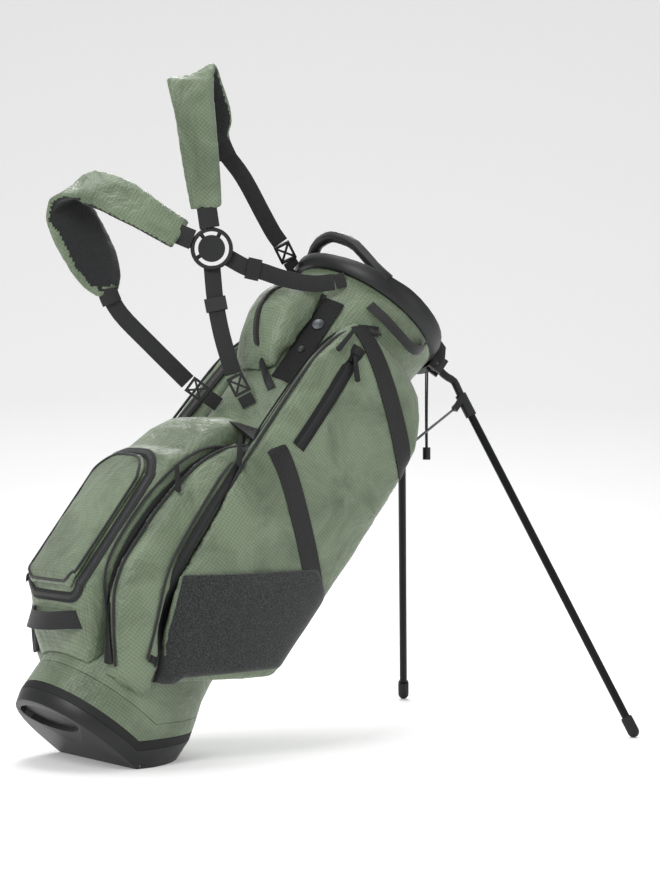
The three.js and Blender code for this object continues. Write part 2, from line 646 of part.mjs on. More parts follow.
function makeTrim() {
  const low = GAP;
  const high = GAP + TRIM_THICKNESS;
  const edge = (corner, shift) => SIDE.map(({ z, outline }) => {
    const { x } = polar(...outline[corner], -1, z);
    return [x + shift, z];
  });
  const fleeceOutline = [...edge(3, ZIP_WIDTH), ...edge(7, -4).reverse()];
  const fleece = layer(fleeceOutline, low, high)
    .intersect(overGroundSlab(POCKET_FLOOR + 4, FLEECE_TOP, -FAR));
  add('fleece_pocket', largest(fleece), FLEECE);

  const clearPockets = (shape) => largest(solid(shape)
    .subtract(pocket(SIDE, -1, GAP))
    .subtract(pocket(MID, -1, GAP))
    .subtract(pocket(BALL, 1, GAP))
    .subtract(clearOfBody));
  const lift = GAP + TRIM_THICKNESS / 2 + 0.6;
  const sideZip = clearPockets(cornerRibbon(SIDE, 3, [1, 10], lift)).intersect(sideFloor(-4));
  add('side_zip', largest(sideZip), WEBBING);
  add('mid_zip', clearPockets(cornerRibbon(MID, 2, [1, 8], lift)), WEBBING);
  const frame = pocket(BALL, 1, high)
    .subtract(pocket(BALL, 1, low))
    .intersect(solid(lidOutline(ZIP_WIDTH * 0.7)))
    .subtract(solid(lidOutline(GAP)))
    .intersect(solid(box(FAR, 2 * FAR, 2 * FAR, -FAR / 2 - TUBE_RADIUS, -FAR + LID_HALF_WIDTH - 8, 0)));
  add('ball_zip', largest(frame), WEBBING);

  const [left, right, bottom, top] = [-62, -43, CUFF_Z - 291, CUFF_Z - 101];
  const strip = layer([[left, bottom], [right, bottom], [right + 4, top], [left + 4, top]], low, high);
  add('valuables_zip', strip, WEBBING);

  // The slider runs straight while the face bulges, so it stands off by the most that the face rises
  const middle = (left + right) / 2 + 3;
  const start = faceAt(middle, top - 24);
  const end = faceAt(middle, top - 24 - SLIDER_TRAVEL);
  const run = end.at.clone().sub(start.at).normalize();
  const out = start.out.clone().addScaledVector(run, -start.out.dot(run)).normalize();
  const rise = Math.max(...[0, 0.15, 0.3, 0.5, 0.7, 1].map((part) => {
    const here = faceAt(middle, top - 24 - part * SLIDER_TRAVEL);
    return here.at.sub(start.at).dot(out);
  }));
  const size = { length: 15, width: 9, height: 5 };
  const base = start.at.clone().addScaledVector(out, rise + high + GAP + 0.5);
  const frameOf = (along, normal) => [along, normal.clone().cross(along).normalize(), normal];
  const place = (shape, axes, at) => shape.applyMatrix4(new THREE.Matrix4().makeBasis(...axes).setPosition(at));
  const slider = place(new THREE.BoxGeometry(size.length, size.width, size.height), frameOf(run, out),
    base.clone().addScaledVector(out, size.height / 2));
  pivot(add('valuables_slider', slider, ALUMINIUM), base, run);

  const tab = (name, at, along, normal, length) => {
    const half = TAB_WIDTH / 2;
    const shape = new THREE.Shape();
    shape.absarc(0, 0, half * 0.7, Math.PI / 2, 1.5 * Math.PI);
    shape.lineTo(length - half, -half);
    shape.absarc(length - half, 0, half, -Math.PI / 2, Math.PI / 2);
    const flat = new THREE.ExtrudeGeometry(shape, { depth: TAB_THICKNESS, bevelEnabled: false, curveSegments: 6 });
    const direction = along.clone().addScaledVector(normal, -along.dot(normal)).normalize();
    const mesh = add(name, place(flat, frameOf(direction, normal), at), WEBBING);
    const end = at.clone().addScaledVector(direction, -half * 0.7).addScaledVector(normal, TAB_THICKNESS / 2);
    pivot(mesh, end, direction.clone().cross(normal));
  };
  const down = V(SIN, 0, -COS);
  tab('valuables_pull', base.clone().addScaledVector(out, size.height + GAP), down, out, 36);
  const upper = faceAt(-66, CUFF_Z - 89);
  tab('side_pull', upper.at.addScaledVector(upper.out, 2 * high + 3), V(-0.1, 0, -1), upper.out, 48);
  const corner = polar(-136, 71, -1, 462);
  tab('mid_pull', corner, V(0.55, 0, -0.83), V(-0.5, -0.866, 0), 43);
  const lidSide = polar(-150, 92, -1, 372);
  tab('ball_pull', lidSide, down, V(-0.45, -0.89, 0), 38);
}

// ---------------------------------------------------------------------------------------------------
// Legs, stays, bracket and actuator
// ---------------------------------------------------------------------------------------------------
const round = (radius, sides) => Array.from({ length: sides }, (_, i) => {
  const angle = (i / sides) * 2 * Math.PI;
  return [radius * Math.cos(angle), radius * Math.sin(angle)];
});

const legAxis = (side) => V(side * Math.sin(LEG_TOE_OUT), -Math.cos(LEG_TOE_OUT), 0);

// From the leg's own plane (u, up, across) to the bag's frame
function legFrame(side) {
  const out = V(Math.cos(LEG_TOE_OUT), side * Math.sin(LEG_TOE_OUT), 0);
  return new THREE.Matrix4().makeBasis(out, V(0, 0, 1), legAxis(side)).setPosition(legPoint(0, 0, side));
}

function makeBracket() {
  const low = CUFF_Z + GAP + 0.2;
  const high = CUFF_Z + CUFF_HEIGHT;
  const wide = CUFF_OUTER;
  const profile = [[wide + GAP, low], [wide + 11, low], [wide + 16, low + 9], [wide + 16, low + 25],
    [wide + 8, high + 5], [wide - 5, high + 10], [wide - 14, high + 7], [wide - 14, high + GAP],
    [wide - 7.6, high + GAP], [wide - 2.5, high - 2.4], [wide + GAP, high - 11]];
  const wedge = [[0, 0], [300, 150], [300, -150]].map(([x, y]) => new THREE.Vector2(x, y));
  let bracket = solid(turned(profile, 64))
    .intersect(solid(prism(wedge, 4 * FAR, [V(1, 0, 0), V(0, 1, 0), V(0, 0, 1)])));
  const cheeks = BARREL_WIDTH + 2 * GAP + 2 * CHEEK_WIDTH;
  const cuffRoom = solid(turned([[0, -TOP], [wide + GAP, -TOP], [wide + GAP, high - 11], [wide - 2.5, high - 2.4],
    [wide - 7.6, high + GAP], [0, high + GAP]], 64));
  for (const side of [-1, 1]) {
    const block = box(24, 24.8, cheeks, 0, 1.6, 0).applyMatrix4(legFrame(side));
    bracket = bracket.add(solid(block).subtract(cuffRoom));
  }
  for (const side of [-1, 1]) {
    const slot = box(FAR, FAR, BARREL_WIDTH + 2 * GAP, FAR / 2 - ELBOW_RADIUS - 1, 11 - FAR / 2, 0);
    const hole = rod(V(0, 0, -40), V(0, 0, 40), PIN_RADIUS + GAP);
    bracket = bracket
      .subtract(solid(slot.applyMatrix4(legFrame(side))))
      .subtract(solid(hole.applyMatrix4(legFrame(side))));
    const pin = rod(V(0, 0, -cheeks / 2 - 1), V(0, 0, cheeks / 2 + 1), PIN_RADIUS);
    add(`pivot_pin_${side < 0 ? 'near' : 'far'}`, pin.applyMatrix4(legFrame(side)), STEEL);
  }
  add('leg_bracket', largest(bracket), PLASTIC);
}

function makeLeg(side, name) {
  const frame = legFrame(side);
  const at = (length) => {
    const { u, drop } = legLine(length);
    return V(u, -drop, 0);
  };
  const route = [V(0, 0, 0), V(22, -4, 0), V(37, -3, 0), V(48, -9, 0), at(0), at(SOCKET_LENGTH / 2)];
  const arm = sweep(ribbonStations(route, route.map(() => V(0, 0, 1)), 12), round(BARREL_WIDTH / 2, 10));
  const lug = V(STAY_LUG.u, -STAY_LUG.drop, 0);
  const { axis } = stayTurn(side);
  const pinAxis = axis.clone().multiplyScalar(Math.sign(axis.dot(legAxis(side))))
    .transformDirection(frame.clone().invert());
  const cheek = STAY_EYE / 2 + 1.2;
  const lugPlate = box(10, 30, 4.5, lug.x, lug.y + 10, cheek + 2.25);
  const lugPin = rod(lug.clone().addScaledVector(pinAxis, cheek + 3),
    lug.clone().addScaledVector(pinAxis, -STAY_EYE / 2 - 1), PIN_RADIUS);
  const elbow = solid(arm)
    .add(solid(rod(V(0, 0, -BARREL_WIDTH / 2), V(0, 0, BARREL_WIDTH / 2), ELBOW_RADIUS, 20)))
    .add(solid(rod(at(-3), at(SOCKET_LENGTH), LEG_RADIUS + 2.6, 20)))
    .add(solid(lugPlate))
    .add(solid(lugPin))
    .subtract(solid(rod(V(0, 0, -20), V(0, 0, 20), PIN_RADIUS + PIN_CLEARANCE)))
    .subtract(solid(rod(at(2), at(SOCKET_LENGTH + 5), LEG_RADIUS + GAP, 20)));
  pivot(add(`leg_elbow_${name}`, surface(elbow).applyMatrix4(frame), PLASTIC), legPoint(0, 0, side),
    legAxis(side));

  const tubeEnd = LEG_LENGTH - 5 - GAP;
  add(`leg_tube_${name}`, rod(at(2 + GAP), at(tubeEnd), LEG_RADIUS, 20).applyMatrix4(frame), ALUMINIUM);
  const hole = LEG_RADIUS + GAP;
  const tip = Array.from({ length: 5 }, (_, i) => {
    const angle = (i / 4) * Math.PI / 2;
    return new THREE.Vector2(FOOT_RADIUS * Math.cos(angle), FOOT_RADIUS * Math.sin(angle));
  });
  tip[4].x = 0;
  const profile = [new THREE.Vector2(0, -5), new THREE.Vector2(hole, -5), new THREE.Vector2(hole, -FOOT_SLEEVE),
    new THREE.Vector2(FOOT_RADIUS - 1, -FOOT_SLEEVE), new THREE.Vector2(FOOT_RADIUS, 3 - FOOT_SLEEVE), ...tip];
  const sole = new THREE.LatheGeometry(profile, 16);
  sole.rotateZ(-Math.PI / 2 - LEG_DROP);
  const end = at(LEG_LENGTH);
  add(`foot_${name}`, sole.translate(end.x, end.y, 0).applyMatrix4(frame), RUBBER);
}

// The turn of a stay in its leg's frame, from open to folded
function stayTurn(side) {
  const mirrored = (p) => V(p.x, side * p.y, p.z);
  const open = mirrored(yokeOpen.clone().sub(lugOpen));
  const folded = mirrored(yokeOpen.clone().setZ(YOKE_Z - YOKE_TRAVEL).sub(lugFolded));
  folded.applyAxisAngle(legAxis(side), LEG_SWING);
  return { axis: open.clone().cross(folded).normalize(), angle: open.angleTo(folded) };
}

function makeStay(side, name) {
  const lug = legPoint(STAY_LUG.u, STAY_LUG.drop, side);
  const end = V(YOKE_X, side * YOKE_Y, YOKE_Z);
  const { axis, angle } = stayTurn(side);
  const along = end.clone().sub(lug).normalize();
  const cross = V(0, 1, 0).addScaledVector(along, -along.y).normalize();
  const eye = (at, turn, thickness, radius) => solid(rod(at.clone().addScaledVector(turn, -thickness / 2),
    at.clone().addScaledVector(turn, thickness / 2), radius));
  const bar = rod(lug.clone().addScaledVector(along, 4), end, STAY_RADIUS, 8);
  const stay = solid(bar)
    .add(eye(lug, axis, STAY_EYE, PIN_RADIUS + 3.4))
    .add(eye(end, cross, STAY_FOOT.width, STAY_FOOT.radius))
    .subtract(eye(lug, axis, 5 * STAY_EYE, PIN_RADIUS + PIN_CLEARANCE));
  const mesh = add(`stay_${name}`, stay, STEEL);
  pivot(mesh, lug, axis);
  mesh.userData.pivot.angle = angle;
}

function makeActuator() {
  const rise = ROD_X + ROD_RADIUS - HINGE_X;
  const footZ = rise * Math.tan(LEAN) + PLATE_THICKNESS / COS + GAP;
  const shaft = rod(V(ROD_X, 0, footZ), V(ROD_X, 0, YOKE_Z + YOKE_SIZE), ROD_RADIUS);
  const reach = YOKE_X - ROD_X;
  const half = YOKE_SIZE / 2;
  const tab = box(reach + half, 2 * YOKE_SIZE, 2 * YOKE_SIZE, ROD_X + (reach + half) / 2 - 1, 0, YOKE_Z);
  const barEnd = YOKE_Y - STAY_FOOT.width / 2 - 5 * GAP;
  const bar = box(YOKE_SIZE, 2 * barEnd, YOKE_SIZE, YOKE_X, 0, YOKE_Z);
  const actuator = solid(shaft).add(solid(tab)).add(solid(bar));
  pivot(add('actuator_rod', actuator, ALUMINIUM), V(ROD_X, 0, YOKE_Z), V(0, 0, 1));
}

function makeCords() {
  const down = V(SIN, 0, -COS);
  const top = CUFF_Z - 1;
  const spread = 4.5;
  for (const [name, shift] of [['a', -spread / 2], ['b', spread / 2]]) {
    const start = V(PIVOT.x + 2, -36.5 + shift, top);
    const end = V(PIVOT.x + 2, -36.5 + shift / 1.6, top).addScaledVector(down, CORD_LENGTH);
    add(`elastic_cord_${name}`, rod(start, end, CORD_RADIUS, 8), LINING);
  }
  const recess = 9;
  const head = V(PIVOT.x + 2, -36.5, top).addScaledVector(down, CORD_LENGTH - recess + 1);
  const tail = head.clone().addScaledVector(down, BELL_LENGTH);
  const inside = rod(head.clone().addScaledVector(down, -1), head.clone().addScaledVector(down, recess),
    BELL_RADIUS - 1.4);
  add('cord_bell', solid(rod(head, tail, BELL_RADIUS, 20)).subtract(solid(inside)), PLASTIC);
}

// ---------------------------------------------------------------------------------------------------
// Straps. The harness frame has x to the right, y up and z towards the near side, from the hub's middle
// ---------------------------------------------------------------------------------------------------
const PAD_LEFT = [
  [[-59, 0, 12], [-32, 40, -12]],
  [[-102, 23, 18], [-74, 70, -18]],
  [[-140, 42, 22], [-112, 97, -20]],
  [[-177, 60, 25], [-153, 112, -22]],
  [[-213, 70, 28], [-176, 111, -30]],
  [[-239, 61, 25], [-189, 89, -42]],
  [[-242, 39, 18], [-180, 67, -48]],
  [[-232, 8, 10], [-159, 33, -48]],
  [[-214, -25, 5], [-139, -11, -40]],
  [[-189, -57, 0], [-134, -42, -30]],
  [[-168, -72, -5], [-139, -60, -20]],
];
const PAD_UPPER = [
  [[-32, 57, 3], [15, 60, -3]],
  [[-44, 113, 6], [15, 116, -4]],
  [[-56, 193, 10], [8, 203, -5]],
  [[-63, 234, 8], [3, 261, -10]],
  [[-60, 243, -8], [6, 270, -28]],
  [[-54, 231, -30], [15, 246, -48]],
  [[-41, 202, -50], [28, 203, -68]],
  [[-32, 172, -62], [30, 178, -78]],
  [[-5, 148, -75], [27, 160, -85]],
];
const WEBS = {
  web_cuff: [[22, -12, -6], [52, -28, -9], [70, -32, -13], [108, -44, -27], [150, -51, -34], [181, -48, -50]],
  web_lower: [[0, -25, -6], [5, -77, -3], [15, -128, 4], [32, -185, 12]],
  web_upper_end: [[14.5, 149, -82], [42, 113, -92], [74, 54, -120], [89, 27, -132], [99, 13, -138]],
  web_left_end: [[-152, -70.5, -13.5], [-136, -96, -16], [-91, -143, -20], [-37, -197, -24]],
};

const points = (rows) => rows.map((row) => V(...row));

function padShape(edges, neck) {
  const [left, right] = [points(edges.map(([near]) => near)), points(edges.map(([, far]) => far))];
  const route = left.map((p, i) => p.clone().add(right[i]).divideScalar(2));
  const across = left.map((p, i) => right[i].clone().sub(p).divideScalar(2));
  const h = PAD_THICKNESS / 2;
  const section = [[-1, -h / 3], [-0.88, -h], [0.88, -h], [1, -h / 3], [1, h / 3], [0.88, h], [-0.88, h],
    [-1, h / 3]];
  const pad = solid(sweep(ribbonStations(route, across, 2 * (edges.length - 1)), section));
  return pad.add(web([...points(neck), route[0], route[1]], 6));
}

// Flat webbing through points, facing the near side
function web(route, steps, width = WEB_WIDTH) {
  const across = route.map((p, i) => {
    const run = route[Math.min(i + 1, route.length - 1)].clone().sub(route[Math.max(i - 1, 0)]);
    return V(-run.y, run.x, 0).normalize();
  });
  return solid(sweep(ribbonStations(route, across, steps), flatSection(width, WEB_THICKNESS)));
}

// A frame on a strap between two points: its middle, and the ways across, along and out of it
function strapFrame(from, to, part) {
  const along = to.clone().sub(from).normalize();
  const across = V(-along.y, along.x, 0).normalize();
  return new THREE.Matrix4().makeBasis(across, along, across.clone().cross(along))
    .setPosition(from.clone().lerp(to, part));
}

function makeHook(name, from, to) {
  const { width, length, thickness, bar } = HOOK;
  const plate = solid(new THREE.BoxGeometry(width, length, thickness));
  const window = solid(new THREE.BoxGeometry(width - 2 * bar, length - 2 * bar, 2 * thickness));
  const reach = Math.hypot(width, length);
  const slant = Math.atan2(length, width);
  const cross = [slant, -slant].map((turn) => (
    solid(new THREE.BoxGeometry(reach - bar, bar * 0.8, thickness - 1).rotateZ(turn)).intersect(plate)));
  const hook = plate.subtract(window).add(cross[0]).add(cross[1]);
  const middle = from.clone().lerp(to, 0.5);
  add(name, surface(hook).applyMatrix4(strapFrame(middle, to, 0)), STEEL, harness);
}

function makeHarness() {
  const ring = turned([[HUB_RADIUS - HUB_BAR, -3.5], [HUB_RADIUS, -3.5], [HUB_RADIUS, 2], [HUB_RADIUS - 1.5, 3.5],
    [HUB_RADIUS - HUB_BAR, 3.5]], 32);
  let hub = solid(ring).add(solid(rod(V(0, 0, -3.5), V(0, 0, 0), HUB_DISC - 2, 24)));
  for (const turn of [62, 127, 212]) {
    const spoke = box(HUB_RADIUS - 3, 6, 5, (HUB_RADIUS - 3) / 2, 0, -1).rotateZ(THREE.MathUtils.degToRad(turn));
    hub = hub.add(solid(spoke));
  }
  const cap = rod(V(0, 0, GAP), V(0, 0, 4.5), HUB_DISC, 28);
  const spokeTop = 1.5 + GAP;
  add('hub_ring', hub, PLASTIC, harness);
  add('hub_cap', cap.translate(0, 0, spokeTop), PLASTIC, harness);

  add('pad_left', padShape(PAD_LEFT, [[-23, 8, -6], [-31, 12, -6]]), FABRIC, harness);
  add('pad_upper', padShape(PAD_UPPER, [[-4, 24, -6], [-5, 33, -6]]), FABRIC, harness);
  for (const [name, route] of Object.entries(WEBS)) {
    add(name, web(points(route), 3 * route.length), WEBBING, harness);
  }
  const [lower, cuff] = [points(WEBS.web_lower), points(WEBS.web_cuff)];
  for (const [name, from, to, part] of [['adjuster_lower', lower[1], lower[2], 0.1],
    ['adjuster_cuff', cuff[1], cuff[2], 0.5]]) {
    const { width, length, thickness } = ADJUSTER;
    const frame = solid(new THREE.BoxGeometry(width, length, thickness))
      .subtract(solid(new THREE.BoxGeometry(WEB_WIDTH + 2, 2 * length, WEB_THICKNESS + 2.2)));
    add(name, surface(frame).applyMatrix4(strapFrame(from, to, part)), PLASTIC, harness);
  }
  makeHook('hook_lower', V(33, -187, 12.3), V(47, -214, 15));
  makeHook('hook_left', V(-35, -199, -24), V(-10, -217, -25));
  makeHook('hook_upper', V(100, 11, -140), V(112, -13, -151));
  const toBag = bag.matrix.clone().invert().multiply(harness.matrix);
  const cuffRoom = solid(rod(V(0, 0, CUFF_Z), V(0, 0, TOP), CUFF_OUTER + GAP, 40));
  for (const [name, from, to] of [
    ['lower_anchor_near', [48, -216, 15], [56, -231, 17]],
    ['lower_anchor_far', [-8, -219, -25], [9, -231, -26]],
    ['cuff_anchor_near', [182.5, -48, -51], [197, -44, -62]],
    ['cuff_anchor_far', [112.5, -14, -152], [127, -38, -160]],
  ]) {
    const loop = solid(surface(web(points([from, to]), 3, 22)).applyMatrix4(toBag));
    add(name, largest(loop.subtract(clearOfBody).subtract(cuffRoom)), WEBBING);
  }
}

function makeHandles() {
  const tilt = V(-0.35, 0, 0.94);
  const low = points([[-130, -74, 130], [-150, -50, 112], [-163, -20, 98], [-163, 20, 98], [-150, 50, 112],
    [-130, 74, 130]]);
  const loop = solid(sweep(ribbonStations(low, low.map(() => tilt), 20), flatSection(26, WEB_THICKNESS)));
  const baseHandle = loop
    .subtract(pocket(BALL, 1, GAP))
    .subtract(pocket(MID, -1, GAP))
    .subtract(pocket(MID, 1, GAP))
    .subtract(clearOfBody);
  add('base_handle', largest(baseHandle), WEBBING);
  const side = [[-121, 6, 772], [-108, 16, 764], [-95, 24, 757], [-80, 26, 757], [-70, 18, 774], [-65, 9, 790]]
    .map(([angle, proud, z]) => polar(angle, proud, -1, z));
  const strap = solid(sweep(ribbonStations(side, side.map(() => V(0, 0, 1)), 16), flatSection(15, WEB_THICKNESS)));
  add('side_handle', largest(strap.subtract(pocket(SIDE, -1, GAP)).subtract(clearOfBody)), WEBBING);
}

makeBase();
makeTube();
makeCuff();
makeDividers();
makePockets();
makeTrim();
makeBracket();
for (const [side, name] of [[-1, 'near'], [1, 'far']]) {
  makeLeg(side, name);
  makeStay(side, name);
}
makeActuator();
makeCords();
makeHarness();
makeHandles();

export default stand;
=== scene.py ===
"""Looks of the golf stand bag: ripstop, webbing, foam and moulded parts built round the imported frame."""

import json
import math
from functools import partial

import bmesh
import bpy
from mathutils import Matrix, Vector
from mathutils.bvhtree import BVHTree

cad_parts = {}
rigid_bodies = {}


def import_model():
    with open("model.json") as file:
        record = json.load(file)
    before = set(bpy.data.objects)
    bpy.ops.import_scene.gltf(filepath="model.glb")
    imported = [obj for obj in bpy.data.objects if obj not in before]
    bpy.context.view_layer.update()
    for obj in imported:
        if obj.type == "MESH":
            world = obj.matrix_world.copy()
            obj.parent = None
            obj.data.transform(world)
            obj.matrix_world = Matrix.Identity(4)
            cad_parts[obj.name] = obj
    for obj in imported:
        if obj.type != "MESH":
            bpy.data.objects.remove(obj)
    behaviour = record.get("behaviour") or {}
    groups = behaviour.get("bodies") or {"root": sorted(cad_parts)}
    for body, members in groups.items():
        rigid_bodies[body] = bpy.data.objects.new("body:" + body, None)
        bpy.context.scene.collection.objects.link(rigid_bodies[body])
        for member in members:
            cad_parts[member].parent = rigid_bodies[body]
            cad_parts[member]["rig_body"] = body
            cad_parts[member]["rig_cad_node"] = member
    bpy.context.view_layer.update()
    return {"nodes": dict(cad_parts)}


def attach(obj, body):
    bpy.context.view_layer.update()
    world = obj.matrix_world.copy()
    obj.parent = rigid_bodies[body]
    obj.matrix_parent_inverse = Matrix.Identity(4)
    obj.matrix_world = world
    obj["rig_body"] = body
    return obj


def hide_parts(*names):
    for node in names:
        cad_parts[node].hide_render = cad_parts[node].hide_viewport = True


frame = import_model()

bl_info = {
    "name": "Golf stand bag",
    "version": (1, 0, 0),
    "blender": (4, 5, 0),
    "location": "View3D > Sidebar > Stand bag",
    "description": "Builds the fabric, straps, trims and finishes of a golf stand bag",
    "category": "Object",
}

# The bag's own frame: x to the belly, y to the far side, z up the bag's axis, in millimetres
MM = 0.001
LEAN = math.radians(39.93)
HINGE_X = 46.5
ORIGIN = 54.79
HUB = Vector((200.0 - ORIGIN, 0.0, 741.0)) * MM
TURN = math.radians(-36.4)
TUBE_OFFSET = 4.0
LID_HALF_WIDTH = 66
LID_BOTTOM = 147
LID_TOP = 376
LID_CORNER = 46
CORD_DROP = 0.124
CORD_RADIUS = 0.00125
PANEL_ANGLE = -146
KNIT_LOW = 122
KNIT_HIGH = 274
MERGE = 0.00002
SHARP = math.radians(32)
CLOTH_FRAMES = 20

HINGE_AT = ((-HINGE_X * math.cos(LEAN) - ORIGIN) * MM, 0, HINGE_X * math.sin(LEAN) * MM)
CAMERA_LENS = 113.97
CAMERA_AT = Vector((-2.1026 - ORIGIN * MM, -3.4191, 0.6038))
CAMERA_RIGHT = Vector((0.80504, -0.59322, 0.0))
CAMERA_UP = Vector((0.0209, 0.0284, 0.99938))
CAMERA_BACK = Vector((-0.59285, -0.80454, 0.03529))

BAG = Matrix.Translation(HINGE_AT) @ Matrix.Rotation(LEAN, 4, "Y")
HARNESS = Matrix(
    (
        (math.cos(TURN), 0, math.sin(TURN), HUB.x),
        (math.sin(TURN), 0, -math.cos(TURN), HUB.y),
        (0, 1, 0, HUB.z),
        (0, 0, 0, 1),
    )
)


def bag(x, y, z):
    """A point of the bag's frame, from millimetres to the row frame in metres."""
    return BAG @ (Vector((x, y, z)) * MM)


def strap(a, b, c):
    """A point of the strap plane: right, up and towards the near side of the hub."""
    return HARNESS @ (Vector((a, b, c)) * MM)


def polar(angle, radius, side, z):
    """A point round the tube's axis; side is -1 for the near half and 1 for the far half."""
    turn = math.radians(angle)
    return bag(TUBE_OFFSET + radius * math.cos(turn), -side * radius * math.sin(turn), z)


# --------------------------------------------------------------------------------------------------
# Sizes and colours
# --------------------------------------------------------------------------------------------------
class StandBagSizes(bpy.types.PropertyGroup):
    """Sizes that a user would change."""

    ripstop_pitch: bpy.props.FloatProperty(
        name="Ripstop pitch", description="Spacing of the reinforcing threads", default=0.0045, unit="LENGTH"
    )
    piping: bpy.props.FloatProperty(
        name="Piping", description="Radius of the piping along the seams", default=0.0022, unit="LENGTH"
    )
    zip_width: bpy.props.FloatProperty(
        name="Zip width", description="Width of the zip tapes", default=0.015, unit="LENGTH"
    )
    band_width: bpy.props.FloatProperty(
        name="Band width", description="Width of the slotted bands on the sides", default=0.031, unit="LENGTH"
    )
    fullness: bpy.props.FloatProperty(
        name="Fullness", description="Air pressure that fills the pockets and pads", default=4.0
    )


class StandBagColours(bpy.types.PropertyGroup):
    """Colours as sRGB hex."""

    ripstop: bpy.props.StringProperty(name="Ripstop", description="Coated nylon shell", default="#74836A")
    # The crease colour is painted shade: it darkens the nylon where the folds sink in.
    ripstop_crease_shade: bpy.props.StringProperty(
        name="Ripstop creases", description="Nylon in its folds", default="#56644D"
    )
    fleece: bpy.props.StringProperty(name="Mesh pocket", description="Charcoal knit", default="#0C0D0D")
    floor: bpy.props.StringProperty(name="Floor", description="Pale floor and backdrop", default="#EEEEEE")


def sizes():
    return bpy.context.scene.stand_bag_sizes


def colour(name):
    return linear(getattr(bpy.context.scene.stand_bag_colours, name))


def linear(text):
    """An sRGB hex colour as linear RGBA."""
    parts = [int(text[i : i + 2], 16) / 255 for i in (1, 3, 5)]
    return [c / 12.92 if c <= 0.04045 else ((c + 0.055) / 1.055) ** 2.4 for c in parts] + [1.0]


# --------------------------------------------------------------------------------------------------
# Materials
# --------------------------------------------------------------------------------------------------
def node(tree, kind, links=None, **settings):
    """Adds a node, sets its settings and sockets, and links the sockets named in links."""
    made = tree.nodes.new(kind)
    for key, value in settings.items():
        if hasattr(made, key) and key not in made.inputs:
            setattr(made, key, value)
        else:
            made.inputs[key].default_value = value
    for socket, source in (links or {}).items():
        tree.links.new(source, made.inputs[socket])
    return made


def new_material(name, roughness, metallic=0.0, **sockets):
    made = bpy.data.materials.new(name)
    made.use_nodes = True
    tree = made.node_tree
    shader = tree.nodes["Principled BSDF"]
    shader.inputs["Roughness"].default_value = roughness
    shader.inputs["Metallic"].default_value = metallic
    for key, value in sockets.items():
        shader.inputs[key.replace("_", " ")].default_value = value
    return made, tree, shader


def maths(tree, operation, a, b=None, c=None):
    """One Math node; a, b and c are sockets or numbers."""
    made = tree.nodes.new("ShaderNodeMath")
    made.operation = operation
    for i, value in enumerate((a, b, c)):
        if value is None:
            continue
        if isinstance(value, (int, float)):
            made.inputs[i].default_value = value
        else:
            tree.links.new(value, made.inputs[i])
    return made.outputs[0]


def bag_coordinates(tree):
    """Object coordinates turned into the bag's own frame, in metres."""
    coordinates = node(tree, "ShaderNodeTexCoord")
    mapping = node(
        tree,
        "ShaderNodeMapping",
        {"Vector": coordinates.outputs["Object"]},
        vector_type="POINT",
        Rotation=(0.0, -LEAN, 0.0),
    )
    return mapping.outputs["Vector"]


def thread_lines(tree, value, pitch, width):
    """1 on a thread and 0 between, for a length in metres."""
    part = maths(tree, "FRACT", maths(tree, "DIVIDE", value, pitch))
    away = maths(tree, "ABSOLUTE", maths(tree, "SUBTRACT", part, 0.5))
    return maths(tree, "GREATER_THAN", away, 0.5 - width / 2)


